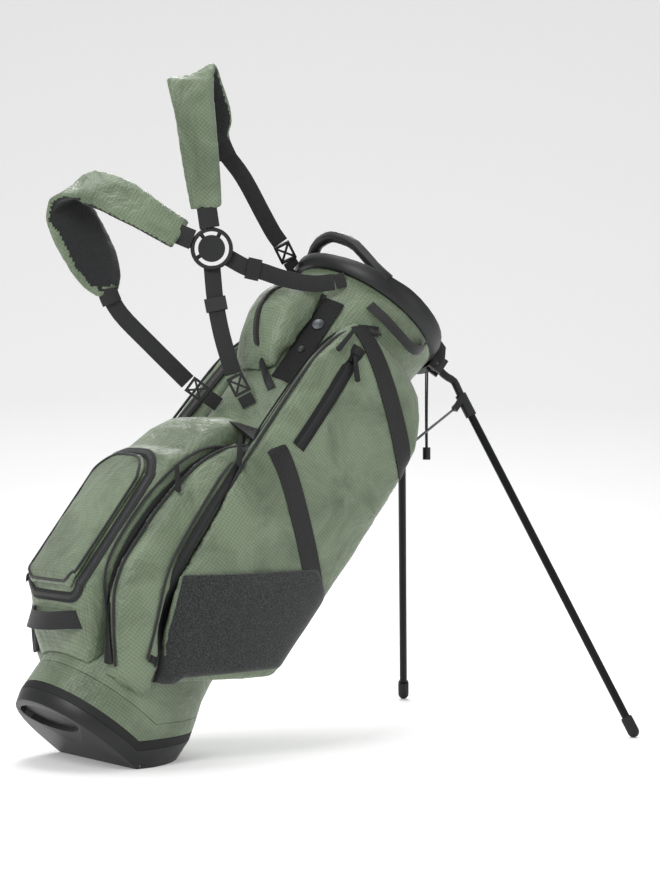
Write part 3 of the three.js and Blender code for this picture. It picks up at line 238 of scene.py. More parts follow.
def ripstop_material():
    """Coated ripstop nylon, semi-gloss, with a square grid of raised threads, and soft creases darkened with
    painted shade.
    """
    made, tree, shader = new_material("ripstop_nylon", 0.5, Sheen_Weight=0.15, Specular_IOR_Level=0.45)
    place = bag_coordinates(tree)
    split = node(tree, "ShaderNodeSeparateXYZ", {"Vector": place})
    x, y, z = split.outputs
    pitch = sizes().ripstop_pitch
    geometry = node(tree, "ShaderNodeTexCoord")
    facing = node(
        tree,
        "ShaderNodeMapping",
        {"Vector": geometry.outputs["Normal"]},
        vector_type="NORMAL",
        Rotation=(0.0, -LEAN, 0.0),
    )
    sides = node(tree, "ShaderNodeSeparateXYZ", {"Vector": facing.outputs["Vector"]})
    to_side = maths(tree, "GREATER_THAN", maths(tree, "ABSOLUTE", sides.outputs[1]), 0.7)
    round_way = node(tree, "ShaderNodeMix", {"Factor": to_side}, data_type="FLOAT")
    tree.links.new(y, round_way.inputs[2])
    tree.links.new(x, round_way.inputs[3])
    upright = thread_lines(tree, round_way.outputs[0], pitch, 0.16)
    level = thread_lines(tree, z, pitch, 0.16)
    grid = maths(tree, "MAXIMUM", upright, level)
    weave = node(tree, "ShaderNodeTexNoise", {"Vector": place}, Scale=1400.0, Detail=1.0)
    creases = node(
        tree, "ShaderNodeTexNoise", {"Vector": place}, Scale=11.0, Detail=5.0, Roughness=0.62, Distortion=0.7
    )
    fine = node(tree, "ShaderNodeTexNoise", {"Vector": place}, Scale=60.0, Detail=4.0, Roughness=0.6)
    # Painted shade: the crease noise that bends the surface also darkens the nylon in its folds towards the
    # crease colour.
    tone = node(tree, "ShaderNodeValToRGB", {"Fac": creases.outputs[0]})
    tone.color_ramp.elements[0].position = 0.32
    tone.color_ramp.elements[0].color = colour("ripstop_crease_shade")
    tone.color_ramp.elements[1].position = 0.58
    tone.color_ramp.elements[1].color = colour("ripstop")
    strength = maths(tree, "MULTIPLY", grid, 0.38)
    threads = node(tree, "ShaderNodeMix", {"Factor": strength}, data_type="RGBA", blend_type="MULTIPLY")
    tree.links.new(tone.outputs[0], threads.inputs[6])
    threads.inputs[7].default_value = linear("#3F4A36")
    tree.links.new(threads.outputs[2], shader.inputs["Base Color"])
    height = maths(tree, "MULTIPLY_ADD", grid, 0.35, maths(tree, "MULTIPLY", weave.outputs[0], 0.2))
    surface = node(tree, "ShaderNodeBump", {"Height": height}, Strength=0.2, Distance=0.0002)
    folds = maths(tree, "MULTIPLY_ADD", fine.outputs[0], 0.18, creases.outputs[0])
    folded = node(
        tree, "ShaderNodeBump", {"Height": folds, "Normal": surface.outputs[0]}, Strength=0.75, Distance=0.016
    )
    tree.links.new(folded.outputs[0], shader.inputs["Normal"])
    rough = maths(tree, "MULTIPLY_ADD", weave.outputs[0], 0.18, 0.36)
    tree.links.new(rough, shader.inputs["Roughness"])
    return made


def webbing_material():
    """Black nylon webbing with a ribbed weave that runs along the strap, dull with a little sheen."""
    made, tree, shader = new_material("nylon_webbing", 0.7, Sheen_Weight=0.2)
    coordinates = node(tree, "ShaderNodeTexCoord")
    split = node(tree, "ShaderNodeSeparateXYZ", {"Vector": coordinates.outputs["UV"]})
    along = maths(tree, "SINE", maths(tree, "MULTIPLY", split.outputs[0], 2 * math.pi / 0.0018))
    across = maths(tree, "SINE", maths(tree, "MULTIPLY", split.outputs[1], 2 * math.pi / 0.0026))
    ribs = maths(tree, "MULTIPLY_ADD", along, 0.6, maths(tree, "MULTIPLY", across, 0.8))
    place = coordinates.outputs["Object"]
    speckle = node(tree, "ShaderNodeTexNoise", {"Vector": place}, Scale=700.0, Detail=2.0)
    tone = node(tree, "ShaderNodeValToRGB", {"Fac": speckle.outputs[0]})
    tone.color_ramp.elements[0].color = linear("#060607")
    tone.color_ramp.elements[1].color = linear("#151617")
    tree.links.new(tone.outputs[0], shader.inputs["Base Color"])
    bump = node(tree, "ShaderNodeBump", {"Height": ribs}, Strength=0.6, Distance=0.0003)
    tree.links.new(bump.outputs[0], shader.inputs["Normal"])
    return made


def zip_material():
    """Black coil zip: a shiny toothed coil down the middle of a matt woven tape."""
    made, tree, shader = new_material("coil_zip", 0.6)
    coordinates = node(tree, "ShaderNodeTexCoord")
    split = node(tree, "ShaderNodeSeparateXYZ", {"Vector": coordinates.outputs["UV"]})
    middle = sizes().zip_width / 2
    off = maths(tree, "ABSOLUTE", maths(tree, "SUBTRACT", split.outputs[1], middle))
    coil = maths(tree, "LESS_THAN", off, 0.0026)
    teeth = maths(tree, "SINE", maths(tree, "MULTIPLY", split.outputs[0], 2 * math.pi / 0.0016))
    weave = node(tree, "ShaderNodeTexNoise", {"Vector": coordinates.outputs["Object"]}, Scale=900.0)
    height = maths(tree, "MULTIPLY_ADD", maths(tree, "MULTIPLY_ADD", teeth, 0.5, 1.2), coil, weave.outputs[0])
    bump = node(tree, "ShaderNodeBump", {"Height": height}, Strength=0.8, Distance=0.0006)
    tree.links.new(bump.outputs[0], shader.inputs["Normal"])
    tone = node(tree, "ShaderNodeMix", {"Factor": coil}, data_type="RGBA")
    tone.inputs[6].default_value = linear("#08090A")
    tone.inputs[7].default_value = linear("#141618")
    tree.links.new(tone.outputs[2], shader.inputs["Base Color"])
    tree.links.new(maths(tree, "MULTIPLY_ADD", coil, -0.3, 0.68), shader.inputs["Roughness"])
    return made


def band_material():
    """Laminated band with staggered rows of pressed slots, darker along their edges."""
    made, tree, shader = new_material("slotted_band", 0.55)
    coordinates = node(tree, "ShaderNodeTexCoord")
    brick = node(
        tree,
        "ShaderNodeTexBrick",
        {"Vector": coordinates.outputs["UV"]},
        offset=0.5,
        Scale=1.0,
        Color1=linear("#101112"),
        Color2=linear("#0B0C0D"),
        Mortar=linear("#030303"),
    )
    brick.inputs["Brick Width"].default_value = 0.011
    brick.inputs["Row Height"].default_value = 0.0052
    brick.inputs["Mortar Size"].default_value = 0.0011
    brick.inputs["Mortar Smooth"].default_value = 0.3
    tree.links.new(brick.outputs[0], shader.inputs["Base Color"])
    bump = node(tree, "ShaderNodeBump", {"Height": brick.outputs[1]}, Strength=0.7, Distance=0.0007)
    bump.invert = True
    tree.links.new(bump.outputs[0], shader.inputs["Normal"])
    return made


def knit_material():
    """Charcoal stretch knit of the open pocket, matt, with pale heather flecks."""
    made, tree, shader = new_material("heather_knit", 0.92, Sheen_Weight=0.3)
    place = bag_coordinates(tree)
    stretch = node(tree, "ShaderNodeMapping", {"Vector": place}, Scale=(1.0, 1.0, 0.4))
    drawn = stretch.outputs[0]
    flecks = node(tree, "ShaderNodeTexNoise", {"Vector": drawn}, Scale=900.0, Detail=2.0, Roughness=0.8)
    tone = node(tree, "ShaderNodeValToRGB", {"Fac": flecks.outputs[0]})
    tone.color_ramp.elements[0].position = 0.45
    tone.color_ramp.elements[0].color = colour("fleece")
    tone.color_ramp.elements[1].position = 0.74
    tone.color_ramp.elements[1].color = linear("#4A4D4E")
    tree.links.new(tone.outputs[0], shader.inputs["Base Color"])
    loops = node(tree, "ShaderNodeTexVoronoi", {"Vector": place}, Scale=620.0)
    bump = node(tree, "ShaderNodeBump", {"Height": loops.outputs[0]}, Strength=0.7, Distance=0.0006)
    tree.links.new(bump.outputs[0], shader.inputs["Normal"])
    return made


def lining_material():
    """Black air-mesh lining of the pads and dividers, matt with small round pores."""
    made, tree, shader = new_material("air_mesh_lining", 0.9, Sheen_Weight=0.2)
    place = bag_coordinates(tree)
    pores = node(tree, "ShaderNodeTexVoronoi", {"Vector": place}, Scale=330.0)
    tone = node(tree, "ShaderNodeValToRGB", {"Fac": pores.outputs[0]})
    tone.color_ramp.elements[0].color = linear("#050506")
    tone.color_ramp.elements[1].color = linear("#1C1D1F")
    tone.color_ramp.elements[1].position = 0.5
    tree.links.new(tone.outputs[0], shader.inputs["Base Color"])
    bump = node(tree, "ShaderNodeBump", {"Height": pores.outputs[0]}, Strength=0.6, Distance=0.0008)
    tree.links.new(bump.outputs[0], shader.inputs["Normal"])
    return made


def moulded_material(name, base, light, roughness, grain, metallic=0.0):
    """A moulded or anodised finish with a fine grain and small changes of tone."""
    made, tree, shader = new_material(name, roughness, metallic)
    place = node(tree, "ShaderNodeTexCoord").outputs["Object"]
    noise = node(tree, "ShaderNodeTexNoise", {"Vector": place}, Scale=grain, Detail=3.0)
    broad = node(tree, "ShaderNodeTexNoise", {"Vector": place}, Scale=14.0, Detail=2.0)
    tone = node(tree, "ShaderNodeValToRGB", {"Fac": broad.outputs[0]})
    tone.color_ramp.elements[0].position = 0.3
    tone.color_ramp.elements[0].color = linear(base)
    tone.color_ramp.elements[1].position = 0.75
    tone.color_ramp.elements[1].color = linear(light)
    tree.links.new(tone.outputs[0], shader.inputs["Base Color"])
    rough = maths(tree, "MULTIPLY_ADD", noise.outputs[0], 0.25, roughness - 0.12)
    tree.links.new(rough, shader.inputs["Roughness"])
    bump = node(tree, "ShaderNodeBump", {"Height": noise.outputs[0]}, Strength=0.3, Distance=0.0003)
    tree.links.new(bump.outputs[0], shader.inputs["Normal"])
    return made


def floor_material():
    """Plain pale paper backdrop with the faintest tooth."""
    made, tree, shader = new_material("paper_backdrop", 0.9, Specular_IOR_Level=0.1)
    coordinates = node(tree, "ShaderNodeTexCoord")
    tooth = node(tree, "ShaderNodeTexNoise", {"Vector": coordinates.outputs["Object"]}, Scale=300.0)
    bump = node(tree, "ShaderNodeBump", {"Height": tooth.outputs[0]}, Strength=0.05, Distance=0.0002)
    tree.links.new(bump.outputs[0], shader.inputs["Normal"])
    shader.inputs["Base Color"].default_value = colour("floor")
    shader.inputs["Emission Color"].default_value = colour("floor")
    shader.inputs["Emission Strength"].default_value = 0.22
    return made


MATERIALS = {}


def material(name):
    """The finish by its name, made once."""
    makers = {
        "ripstop": ripstop_material,
        "webbing": webbing_material,
        "zip": zip_material,
        "band": band_material,
        "fleece": knit_material,
        "lining": lining_material,
        "plastic": lambda: moulded_material("moulded_plastic", "#08090A", "#121315", 0.45, 800.0),
        "rubber": lambda: moulded_material("black_rubber", "#060708", "#0F1011", 0.7, 500.0),
        "leg_tube": lambda: moulded_material("anodised_tube", "#07080A", "#101214", 0.34, 1200.0, 0.6),
        "steel": lambda: moulded_material("plated_steel", "#4A4C50", "#6B6E72", 0.35, 900.0, 0.9),
        "suede": lambda: moulded_material("black_microfibre", "#0B0B0C", "#191A1B", 0.9, 350.0),
        "floor": floor_material,
    }
    if name not in MATERIALS:
        MATERIALS[name] = makers[name]()
    return MATERIALS[name]


# --------------------------------------------------------------------------------------------------
# Modelling
# --------------------------------------------------------------------------------------------------
def clear_selection():
    if bpy.context.mode != "OBJECT":
        bpy.ops.object.mode_set(mode="OBJECT")
    bpy.ops.object.select_all(action="DESELECT")


def make_active(piece):
    clear_selection()
    piece.select_set(True)
    bpy.context.view_layer.objects.active = piece


def apply_modifier(piece, kind, **settings):
    make_active(piece)
    made = piece.modifiers.new(kind.lower(), kind)
    for key, value in settings.items():
        setattr(made, key, value)
    bpy.ops.object.modifier_apply(modifier=made.name)


def eased(piece, width, angle):
    """Rounds the edges of a piece that are sharper than an angle in degrees."""
    apply_modifier(
        piece, "BEVEL", width=width, segments=2, limit_method="ANGLE", angle_limit=math.radians(angle)
    )


def settle(piece, name, look, body):
    """Names a finished piece, puts its place in its mesh and makes it ride."""
    make_active(piece)
    bpy.ops.object.transform_apply(location=True, rotation=True, scale=True)
    piece.name = piece.data.name = name
    if look:
        piece.data.materials.clear()
        piece.data.materials.append(material(look))
    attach(piece, body)
    return piece


def copy_of(node_name):
    """A merged copy of a CAD node, on its own."""
    source = frame["nodes"][node_name]
    piece = source.copy()
    piece.data = source.data.copy()
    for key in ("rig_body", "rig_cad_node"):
        if key in piece:
            del piece[key]
    piece.parent = None
    bpy.context.scene.collection.objects.link(piece)
    make_active(piece)
    bpy.ops.object.mode_set(mode="EDIT")
    bpy.ops.mesh.select_all(action="SELECT")
    bpy.ops.mesh.remove_doubles(threshold=MERGE)
    bpy.ops.object.mode_set(mode="OBJECT")
    return piece


def filled(piece, voxel, shrink, limit, pressure):
    """Fills a soft shape with air as cloth, no further than limit from where it started."""
    apply_modifier(piece, "REMESH", mode="VOXEL", voxel_size=voxel)
    mesh = piece.data
    start = [v.co - v.normal * shrink for v in mesh.vertices]
    for vertex, place in zip(mesh.vertices, start):
        vertex.co = place
    if pressure:
        make_active(piece)
        bpy.ops.object.modifier_add(type="CLOTH")
        cloth = piece.modifiers[-1]
        cloth.settings.use_pressure = True
        cloth.settings.uniform_pressure_force = pressure
        cloth.settings.quality = 4
        cloth.settings.tension_stiffness = 25
        cloth.settings.compression_stiffness = 15
        cloth.settings.bending_stiffness = 2.0
        cloth.settings.effector_weights.gravity = 0
        cloth.collision_settings.use_collision = False
        cloth.point_cache.frame_start, cloth.point_cache.frame_end = 1, CLOTH_FRAMES
        for step in range(1, CLOTH_FRAMES + 1):
            bpy.context.scene.frame_set(step)
        bpy.ops.object.modifier_apply(modifier=cloth.name)
        bpy.context.scene.frame_set(1)
        for vertex, place in zip(piece.data.vertices, start):
            move = vertex.co - place
            if move.length > limit:
                vertex.co = place + move.normalized() * limit
    apply_modifier(piece, "SMOOTH", factor=0.5, iterations=5)
    make_active(piece)
    bpy.ops.object.shade_smooth()
    return piece


def mirrored(piece):
    """A copy of a piece on the other side of the bag."""
    made = piece.copy()
    made.data = piece.data.copy()
    made.parent = None
    bpy.context.scene.collection.objects.link(made)
    made.data.transform(Matrix.Scale(-1, 4, (0, 1, 0)))
    make_active(made)
    bpy.ops.object.mode_set(mode="EDIT")
    bpy.ops.mesh.select_all(action="SELECT")
    bpy.ops.mesh.normals_make_consistent(inside=False)
    bpy.ops.object.mode_set(mode="OBJECT")
    return made


class Skin:
    """The outside of several finished pieces, for laying trims on them."""

    def __init__(self, *names):
        mesh = bmesh.new()
        for name in names:
            mesh.from_mesh(bpy.data.objects[name].data)
        self.tree = BVHTree.FromBMesh(mesh)
        mesh.free()

    def hit(self, start, towards):
        way = towards - start
        place, normal, _, _ = self.tree.ray_cast(start, way.normalized(), way.length)
        if place is None:
            # The line passes beside a rounded corner, so the trim wraps onto the nearest skin
            place, normal, _, away = self.tree.find_nearest(start.lerp(towards, 0.65))
            if place is None or away > 0.06:
                raise RuntimeError(f"no surface between {start} and {towards}")
        return place, normal

    def side(self, x, z, side=-1):
        """On the near or far side, at a place across and up the bag."""
        return self.hit(bag(x, 400 * side, z), bag(x, 0, z))

    def round(self, angle, z, side=-1):
        """At an angle round the tube's axis."""
        return self.hit(polar(angle, 420, side, z), polar(angle, 0, side, z))

    def back(self, y, z):
        """On the strap side."""
        return self.hit(bag(-420, y, z), bag(0, y, z))


def smooth_route(points, steps, closed=False):
    """Evenly spaced points along a smooth curve through the given ones."""
    count = len(points)
    last = count if closed else count - 1
    dense = []
    for i in range(last):
        near = [(i + k) % count if closed else min(max(i + k, 0), count - 1) for k in (-1, 0, 1, 2)]
        a, b, c, d = (points[k] for k in near)
        bend, twist = 2 * a - 5 * b + 4 * c - d, 3 * b - a - 3 * c + d
        for k in range(12):
            t = k / 12
            dense.append(0.5 * (2 * b + (c - a) * t + bend * t**2 + twist * t**3))
    dense.append(points[0] if closed else points[-1])
    lengths = [0.0]
    for a, b in zip(dense, dense[1:]):
        lengths.append(lengths[-1] + (b - a).length)
    made, j = [], 0
    for i in range(steps + 1):
        want = lengths[-1] * i / steps
        while j < len(lengths) - 2 and lengths[j + 1] < want:
            j += 1
        span = max(lengths[j + 1] - lengths[j], 1e-9)
        made.append(dense[j].lerp(dense[j + 1], (want - lengths[j]) / span))
    return made, lengths[-1]


def ribbon(name, route, out, width, thickness, look, steps=None, closed=False):
    """A flat strip along a route. out gives the way out of the surface at each route point."""
    _, length = smooth_route(route, 10, closed)
    steps = steps or max(8, int(length / 0.006))
    places, length = smooth_route(route, steps, closed)
    nearest = [min(range(len(route)), key=lambda k: (route[k] - place).length_squared) for place in places]
    outs = softened([out[k] for k in nearest], 4)
    rows = 5
    clear_selection()
    bpy.ops.mesh.primitive_grid_add(x_subdivisions=steps, y_subdivisions=rows - 1, size=1, calc_uvs=True)
    piece = bpy.context.active_object
    mesh = piece.data
    layer = mesh.uv_layers.active.data
    cells = {}
    for vertex in mesh.vertices:
        i = round((vertex.co.x + 0.5) * steps)
        j = round((vertex.co.y + 0.5) * (rows - 1))
        cells[vertex.index] = (i, j)
    for loop in mesh.loops:
        i, j = cells[loop.vertex_index]
        layer[loop.index].uv = (length * i / steps, width * j / (rows - 1))
    for vertex in mesh.vertices:
        i, j = cells[vertex.index]
        before, after = max(i - 1, 0), min(i + 1, steps)
        along = (places[after] - places[before]).normalized()
        lift = outs[i].normalized()
        across = lift.cross(along).normalized()
        lift = along.cross(across)
        share = j / (rows - 1) - 0.5
        vertex.co = places[i] + across * width * share + lift * thickness * (0.5 - 0.6 * (2 * share) ** 4)
    make_active(piece)
    bpy.ops.object.mode_set(mode="EDIT")
    bpy.ops.mesh.select_all(action="SELECT")
    if closed:
        bpy.ops.mesh.remove_doubles(threshold=0.0004)
    bpy.ops.object.mode_set(mode="OBJECT")
    apply_modifier(piece, "SOLIDIFY", thickness=thickness, offset=0)
    make_active(piece)
    bpy.ops.object.shade_smooth_by_angle(angle=math.radians(50))
    return settle(piece, name, look, "bag")


def tube(name, route, radius, look, body="bag", closed=False):
    """A round cord or piping along a route, as a mesh."""
    curve = bpy.data.curves.new(name, "CURVE")
    curve.dimensions = "3D"
    curve.bevel_depth = radius
    curve.bevel_resolution = 3
    curve.use_fill_caps = True
    steps = max(8, int(smooth_route(route, 10, closed)[1] / 0.008))
    places, _ = smooth_route(route, steps, closed)
    if closed:
        places = places[:-1]
    spline = curve.splines.new("POLY")
    spline.points.add(len(places) - 1)
    for point, place in zip(spline.points, places):
        point.co = (*place, 1)
    spline.use_cyclic_u = closed
    piece = bpy.data.objects.new(name, curve)
    bpy.context.scene.collection.objects.link(piece)
    make_active(piece)
    bpy.ops.object.convert(target="MESH")
    bpy.ops.object.shade_smooth()
    return settle(piece, name, look, body)


def along(hits, lift):
    """Route and outward directions from surface hits, lifted off the surface."""
    return [place + normal * lift for place, normal in hits], [normal for _, normal in hits]


def softened(points, rounds):
    """Points of an open line, each drawn towards the middle of its neighbours."""
    for _ in range(rounds):
        middle = [(a + 2 * b + c) / 4 for a, b, c in zip(points, points[1:], points[2:])]
        points = [points[0], *middle, points[-1]]
    return points


def laid(cast, path, lift):
    """A trim's route over the skin: the path cast onto it at many places and softened, lifted off it."""
    dense, _ = smooth_route([Vector((u, v, 0)) for u, v in path], 40)
    route, out = along([cast(point.x, point.y) for point in dense], lift)
    return softened(route, 6), softened(out, 6)


def button(name, place, out, radius, height, look):
    """A rivet, screw or eyelet: a short cylinder with a bevelled rim and a dished face."""
    clear_selection()
    bpy.ops.mesh.primitive_cylinder_add(vertices=32, radius=radius, depth=height)
    piece = bpy.context.active_object
    bpy.ops.object.mode_set(mode="EDIT")
    bpy.ops.mesh.select_all(action="DESELECT")
    shape = bmesh.from_edit_mesh(piece.data)
    for face in shape.faces:
        face.select = face.normal.z > 0.9
    bmesh.update_edit_mesh(piece.data)
    bpy.ops.mesh.inset(thickness=radius * 0.35)
    bpy.ops.transform.translate(value=(0, 0, -height * 0.3))
    bpy.ops.object.mode_set(mode="OBJECT")
    apply_modifier(piece, "BEVEL", width=min(radius, height) * 0.14, segments=2, limit_method="ANGLE")
    turn = out.to_track_quat("Z", "Y").to_matrix().to_4x4()
    piece.data.transform(Matrix.Translation(place) @ turn)
    make_active(piece)
    bpy.ops.object.shade_smooth_by_angle(angle=math.radians(35))
    return settle(piece, name, look, "bag")


# --------------------------------------------------------------------------------------------------
# Operators
# --------------------------------------------------------------------------------------------------
class STANDBAG_OT_stage(bpy.types.Operator):
    """Floor, soft lights and the camera"""

    bl_idname = "standbag.stage"
    bl_label = "Stage"

    def execute(self, context):
        clear_selection()
        bpy.ops.mesh.primitive_grid_add(x_subdivisions=40, y_subdivisions=40, size=14)
        floor = context.active_object
        floor.name = "floor"
        for vertex in floor.data.vertices:
            back = max(0.0, vertex.co.x * 0.59 + vertex.co.y * 0.8 - 3.0)
            vertex.co.z = 0.25 * back**2
        bpy.ops.object.shade_smooth()
        floor.data.materials.append(material("floor"))
        world = bpy.data.worlds.new("studio")
        context.scene.world = world
        world.use_nodes = True
        world.node_tree.nodes["Background"].inputs[0].default_value = (1, 1, 1, 1)
        world.node_tree.nodes["Background"].inputs[1].default_value = 0.55
        context.scene.view_settings.view_transform = "Standard"
        context.scene.view_settings.look = "None"
        target = Vector((0.2, 0.0, 0.4))
        # Name, place, size and power
        lights = [
            ("key", (-2.4, -1.2, 2.6), 1.2, 52),
            ("fill", (1.9, -3.2, 1.3), 1.8, 13),
            ("rim", (1.9, 2.2, 2.4), 1.4, 44),
            ("top", (0.3, 0.5, 3.4), 2.0, 52),
        ]
        for name, place, size, power in lights:
            data = bpy.data.lights.new(name, "AREA")
            data.size = size
            data.energy = power
            lamp = bpy.data.objects.new(name, data)
            lamp.location = place
            lamp.rotation_mode = "QUATERNION"
            lamp.rotation_quaternion = (target - Vector(place)).to_track_quat("-Z", "Y")
            context.scene.collection.objects.link(lamp)
        data = bpy.data.cameras.new("camera")
        data.lens = CAMERA_LENS
        data.sensor_width = 36
        camera = bpy.data.objects.new("camera", data)
        matrix = Matrix((CAMERA_RIGHT, CAMERA_UP, CAMERA_BACK)).transposed().to_4x4()
        matrix.translation = CAMERA_AT
        camera.matrix_world = matrix
        context.scene.collection.objects.link(camera)
        context.scene.camera = camera
        return {"FINISHED"}


WEBBING = (
    "web_cuff web_lower web_upper_end web_left_end lower_anchor_near lower_anchor_far "
    "cuff_anchor_near cuff_anchor_far base_handle side_handle"
)
RIGID = {
    "plastic": (
        "base_cup cuff club_divider leg_bracket hub_ring hub_cap cord_bell leg_elbow_near leg_elbow_far "
        "adjuster_cuff adjuster_lower hook_upper hook_left hook_lower"
    ),
    "rubber": "base_trim heel_plate foot_near foot_far",
    "leg_tube": "leg_tube_near leg_tube_far actuator_rod valuables_slider",
    "steel": "pivot_pin_near pivot_pin_far heel_pin stay_near stay_far",
}

EASED = ("base_cup", "cuff", "leg_bracket", "club_divider", "hub_ring")


class STANDBAG_OT_rigid(bpy.types.Operator):
    """Finishes for the moulded, turned and drawn parts"""

    bl_idname = "standbag.rigid"
    bl_label = "Rigid parts"

    def execute(self, context):
        for look, names in RIGID.items():
            for name in names.split():
                part = frame["nodes"][name]
                part.data.materials.clear()
                part.data.materials.append(material(look))
                part.data.polygons.foreach_set("use_smooth", [True] * len(part.data.polygons))
                weld = part.modifiers.new("weld", "WELD")
                weld.merge_threshold = MERGE
                if name in EASED:
                    bevel = part.modifiers.new("bevel", "BEVEL")
                    bevel.width = 0.0008
                    bevel.segments = 2
                    bevel.limit_method = "ANGLE"
                    bevel.angle_limit = SHARP
                split = part.modifiers.new("split", "EDGE_SPLIT")
                split.split_angle = SHARP
        return {"FINISHED"}


class STANDBAG_OT_shell(bpy.types.Operator):
    """Tube and boot fabric, and the padded divider panels"""

    bl_idname = "standbag.shell"
    bl_label = "Shell"

    def execute(self, context):
        for name, look, slot in (
            ("tube_fabric", "ripstop", "ripstop"),
            ("boot_fabric", "ripstop", "ripstop"),
            ("divider_panels", "lining", "lining"),
        ):
            piece = copy_of(name)
            eased(piece, 0.0008, 40)
            make_active(piece)
            bpy.ops.object.shade_smooth_by_angle(angle=math.radians(40))
            settle(piece, name + "_cloth", look, "bag")
            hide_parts(name)
        return {"FINISHED"}


class STANDBAG_OT_pockets(bpy.types.Operator):
    """Side, middle, ball and upper pockets, filled with air as cloth"""

    bl_idname = "standbag.pockets"
    bl_label = "Pockets"

    def execute(self, context):
        pressure = sizes().fullness
        for near, far, name in (
            ("side_pocket_near", "side_pocket_far", "side_pocket"),
            ("mid_pocket_near", "mid_pocket_far", "mid_pocket"),
        ):
            piece = filled(copy_of(near), 0.007, 0.002, 0.005, pressure)
            other = mirrored(piece)
            for made, stands_for, word in ((piece, near, "near"), (other, far, "far")):
                settle(made, f"{name}_{word}_cloth", "ripstop", "bag")
                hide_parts(stands_for)
        for source, voxel, shrink, limit, body in (
            ("ball_pocket", 0.0025, 0.0, 0.0, "bag"),
            ("ball_pocket_lid", 0.004, 0.0, 0.002, "ball_lid"),
            ("hump_pocket", 0.006, 0.001, 0.005, "bag"),
        ):
            piece = filled(copy_of(source), voxel, shrink, limit, pressure if limit else 0.0)
            settle(piece, source + "_cloth", "ripstop", body)
            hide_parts(source)
        return {"FINISHED"}


class STANDBAG_OT_trims(bpy.types.Operator):
    """Zips, piping, slotted bands, knit pocket and seams laid on the pockets"""

    bl_idname = "standbag.trims"
    bl_label = "Trims"

    def execute(self, context):
        zip_width = sizes().zip_width
        sides = [f"{name}_pocket_{word}_cloth" for word in ("near", "far") for name in ("side", "mid")]
        skin = Skin(*sides, "ball_pocket_cloth", "tube_fabric_cloth", "boot_fabric_cloth")
        lid = Skin("ball_pocket_lid_cloth")
        hump = Skin("hump_pocket_cloth", "tube_fabric_cloth")
        # Zips as angles round the tube and heights up it
        side_zip = [(-111, 122), (-117, 165), (-127, 235), (-129, 300), (-132, 450), (-133, 575), (-133, 640),
                    (-131, 680), (-128, 715), (-120, 740), (-105, 746)]
        mid_zip = [(-130, 92), (-138, 122), (-147, 165), (-151, 210), (-152, 300), (-151, 350), (-149, 408),
                   (-144, 450), (-139, 468)]
        # Bands as places across the bag and heights up it
        upper_band = [(-58, 729), (-20, 703), (40, 660), (100, 618), (128, 598)]
        lower_band = [(-108, 501), (-72, 481), (-35, 458), (20, 420), (70, 384), (110, 356), (134, 336)]
        belly_seam = [(-46, 235), (-46, 300), (-46, 450), (-46, 575), (-48, 640), (-51, 680), (-56, 712)]
        for side, word in ((-1, "near"), (1, "far")):
            for name, path in (("side_zip", side_zip), ("mid_zip", mid_zip)):
                cast = partial(skin.round, side=side)
                route, out = laid(cast, path, 0.004)
                piece = ribbon(f"{name}_{word}_tape", route, out, zip_width, 0.0016, "zip")
                if word == "near":
                    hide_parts(name)
                for shift, edge in ((-3.3, "a"), (3.3, "b")):
                    line = laid(cast, [(angle + shift, z) for angle, z in path], 0.003)[0]
                    tube(f"{name}_{word}_piping_{edge}", line, sizes().piping, "webbing")
            for name, path in (("upper_band", upper_band), ("lower_band", lower_band)):
                route, out = laid(partial(skin.side, side=side), path, 0.0012)
                ribbon(f"{name}_{word}", route, out, sizes().band_width, 0.0014, "band")
            seam, _ = along([skin.round(angle, z, side) for angle, z in belly_seam], 0.0004)
            tube(f"belly_piping_{word}", seam, sizes().piping * 0.8, "webbing")
        outline = lid_outline(6.5)
        route, out = along([skin.back(y, z) for y, z in outline], 0.001)
        piece = ribbon("ball_zip_tape", route, out, zip_width, 0.0018, "zip", closed=True, steps=150)
        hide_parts("ball_zip")
        middle = (LID_BOTTOM + LID_TOP) / 2
        rim = [lid.back(y * 0.86, middle + (z - middle) * 0.9) for y, z in outline]
        tube("lid_piping", along(rim, 0.0006)[0], sizes().piping, "webbing", body="ball_lid", closed=True)
        valuables = [(-52, 506), (-51, 560), (-50, 620), (-48, 696)]
        route, out = along([skin.side(x, z) for x, z in valuables], 0.0004)
        piece = ribbon("valuables_zip_frame", route, out, 0.021, 0.0018, "suede")
        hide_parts("valuables_zip")
        route, out = along([skin.side(x, z) for x, z in valuables], 0.0022)
        ribbon("valuables_zip_tape", route, out, zip_width * 0.6, 0.0012, "zip")
        for side, word in ((-1, "near"), (1, "far")):
            knit_pocket(skin, side, word, KNIT_LOW, KNIT_HIGH)
        arc = [(-58, 581), (-30, 612), (-8, 651), (4, 694), (-8, 733), (-50, 750)]
        route, out = along([hump.back(y, z) for y, z in arc], 0.0006)
        ribbon("upper_zip_tape", route, out, zip_width * 0.8, 0.0014, "zip")
        panel = [hump.round(PANEL_ANGLE, z) for z in (600, 640, 680, 720, 752)]
        route, out = along(panel, 0.0006)
        ribbon("suede_panel", route, out, 0.036, 0.0016, "suede")
        place, normal = hump.round(PANEL_ANGLE, 706)
        button("panel_grommet", place + normal * 0.002, normal, 0.009, 0.004, "steel")
        place, normal = hump.round(PANEL_ANGLE, 658)
        button("panel_rivet", place + normal * 0.002, normal, 0.0055, 0.0035, "plastic")
        return {"FINISHED"}


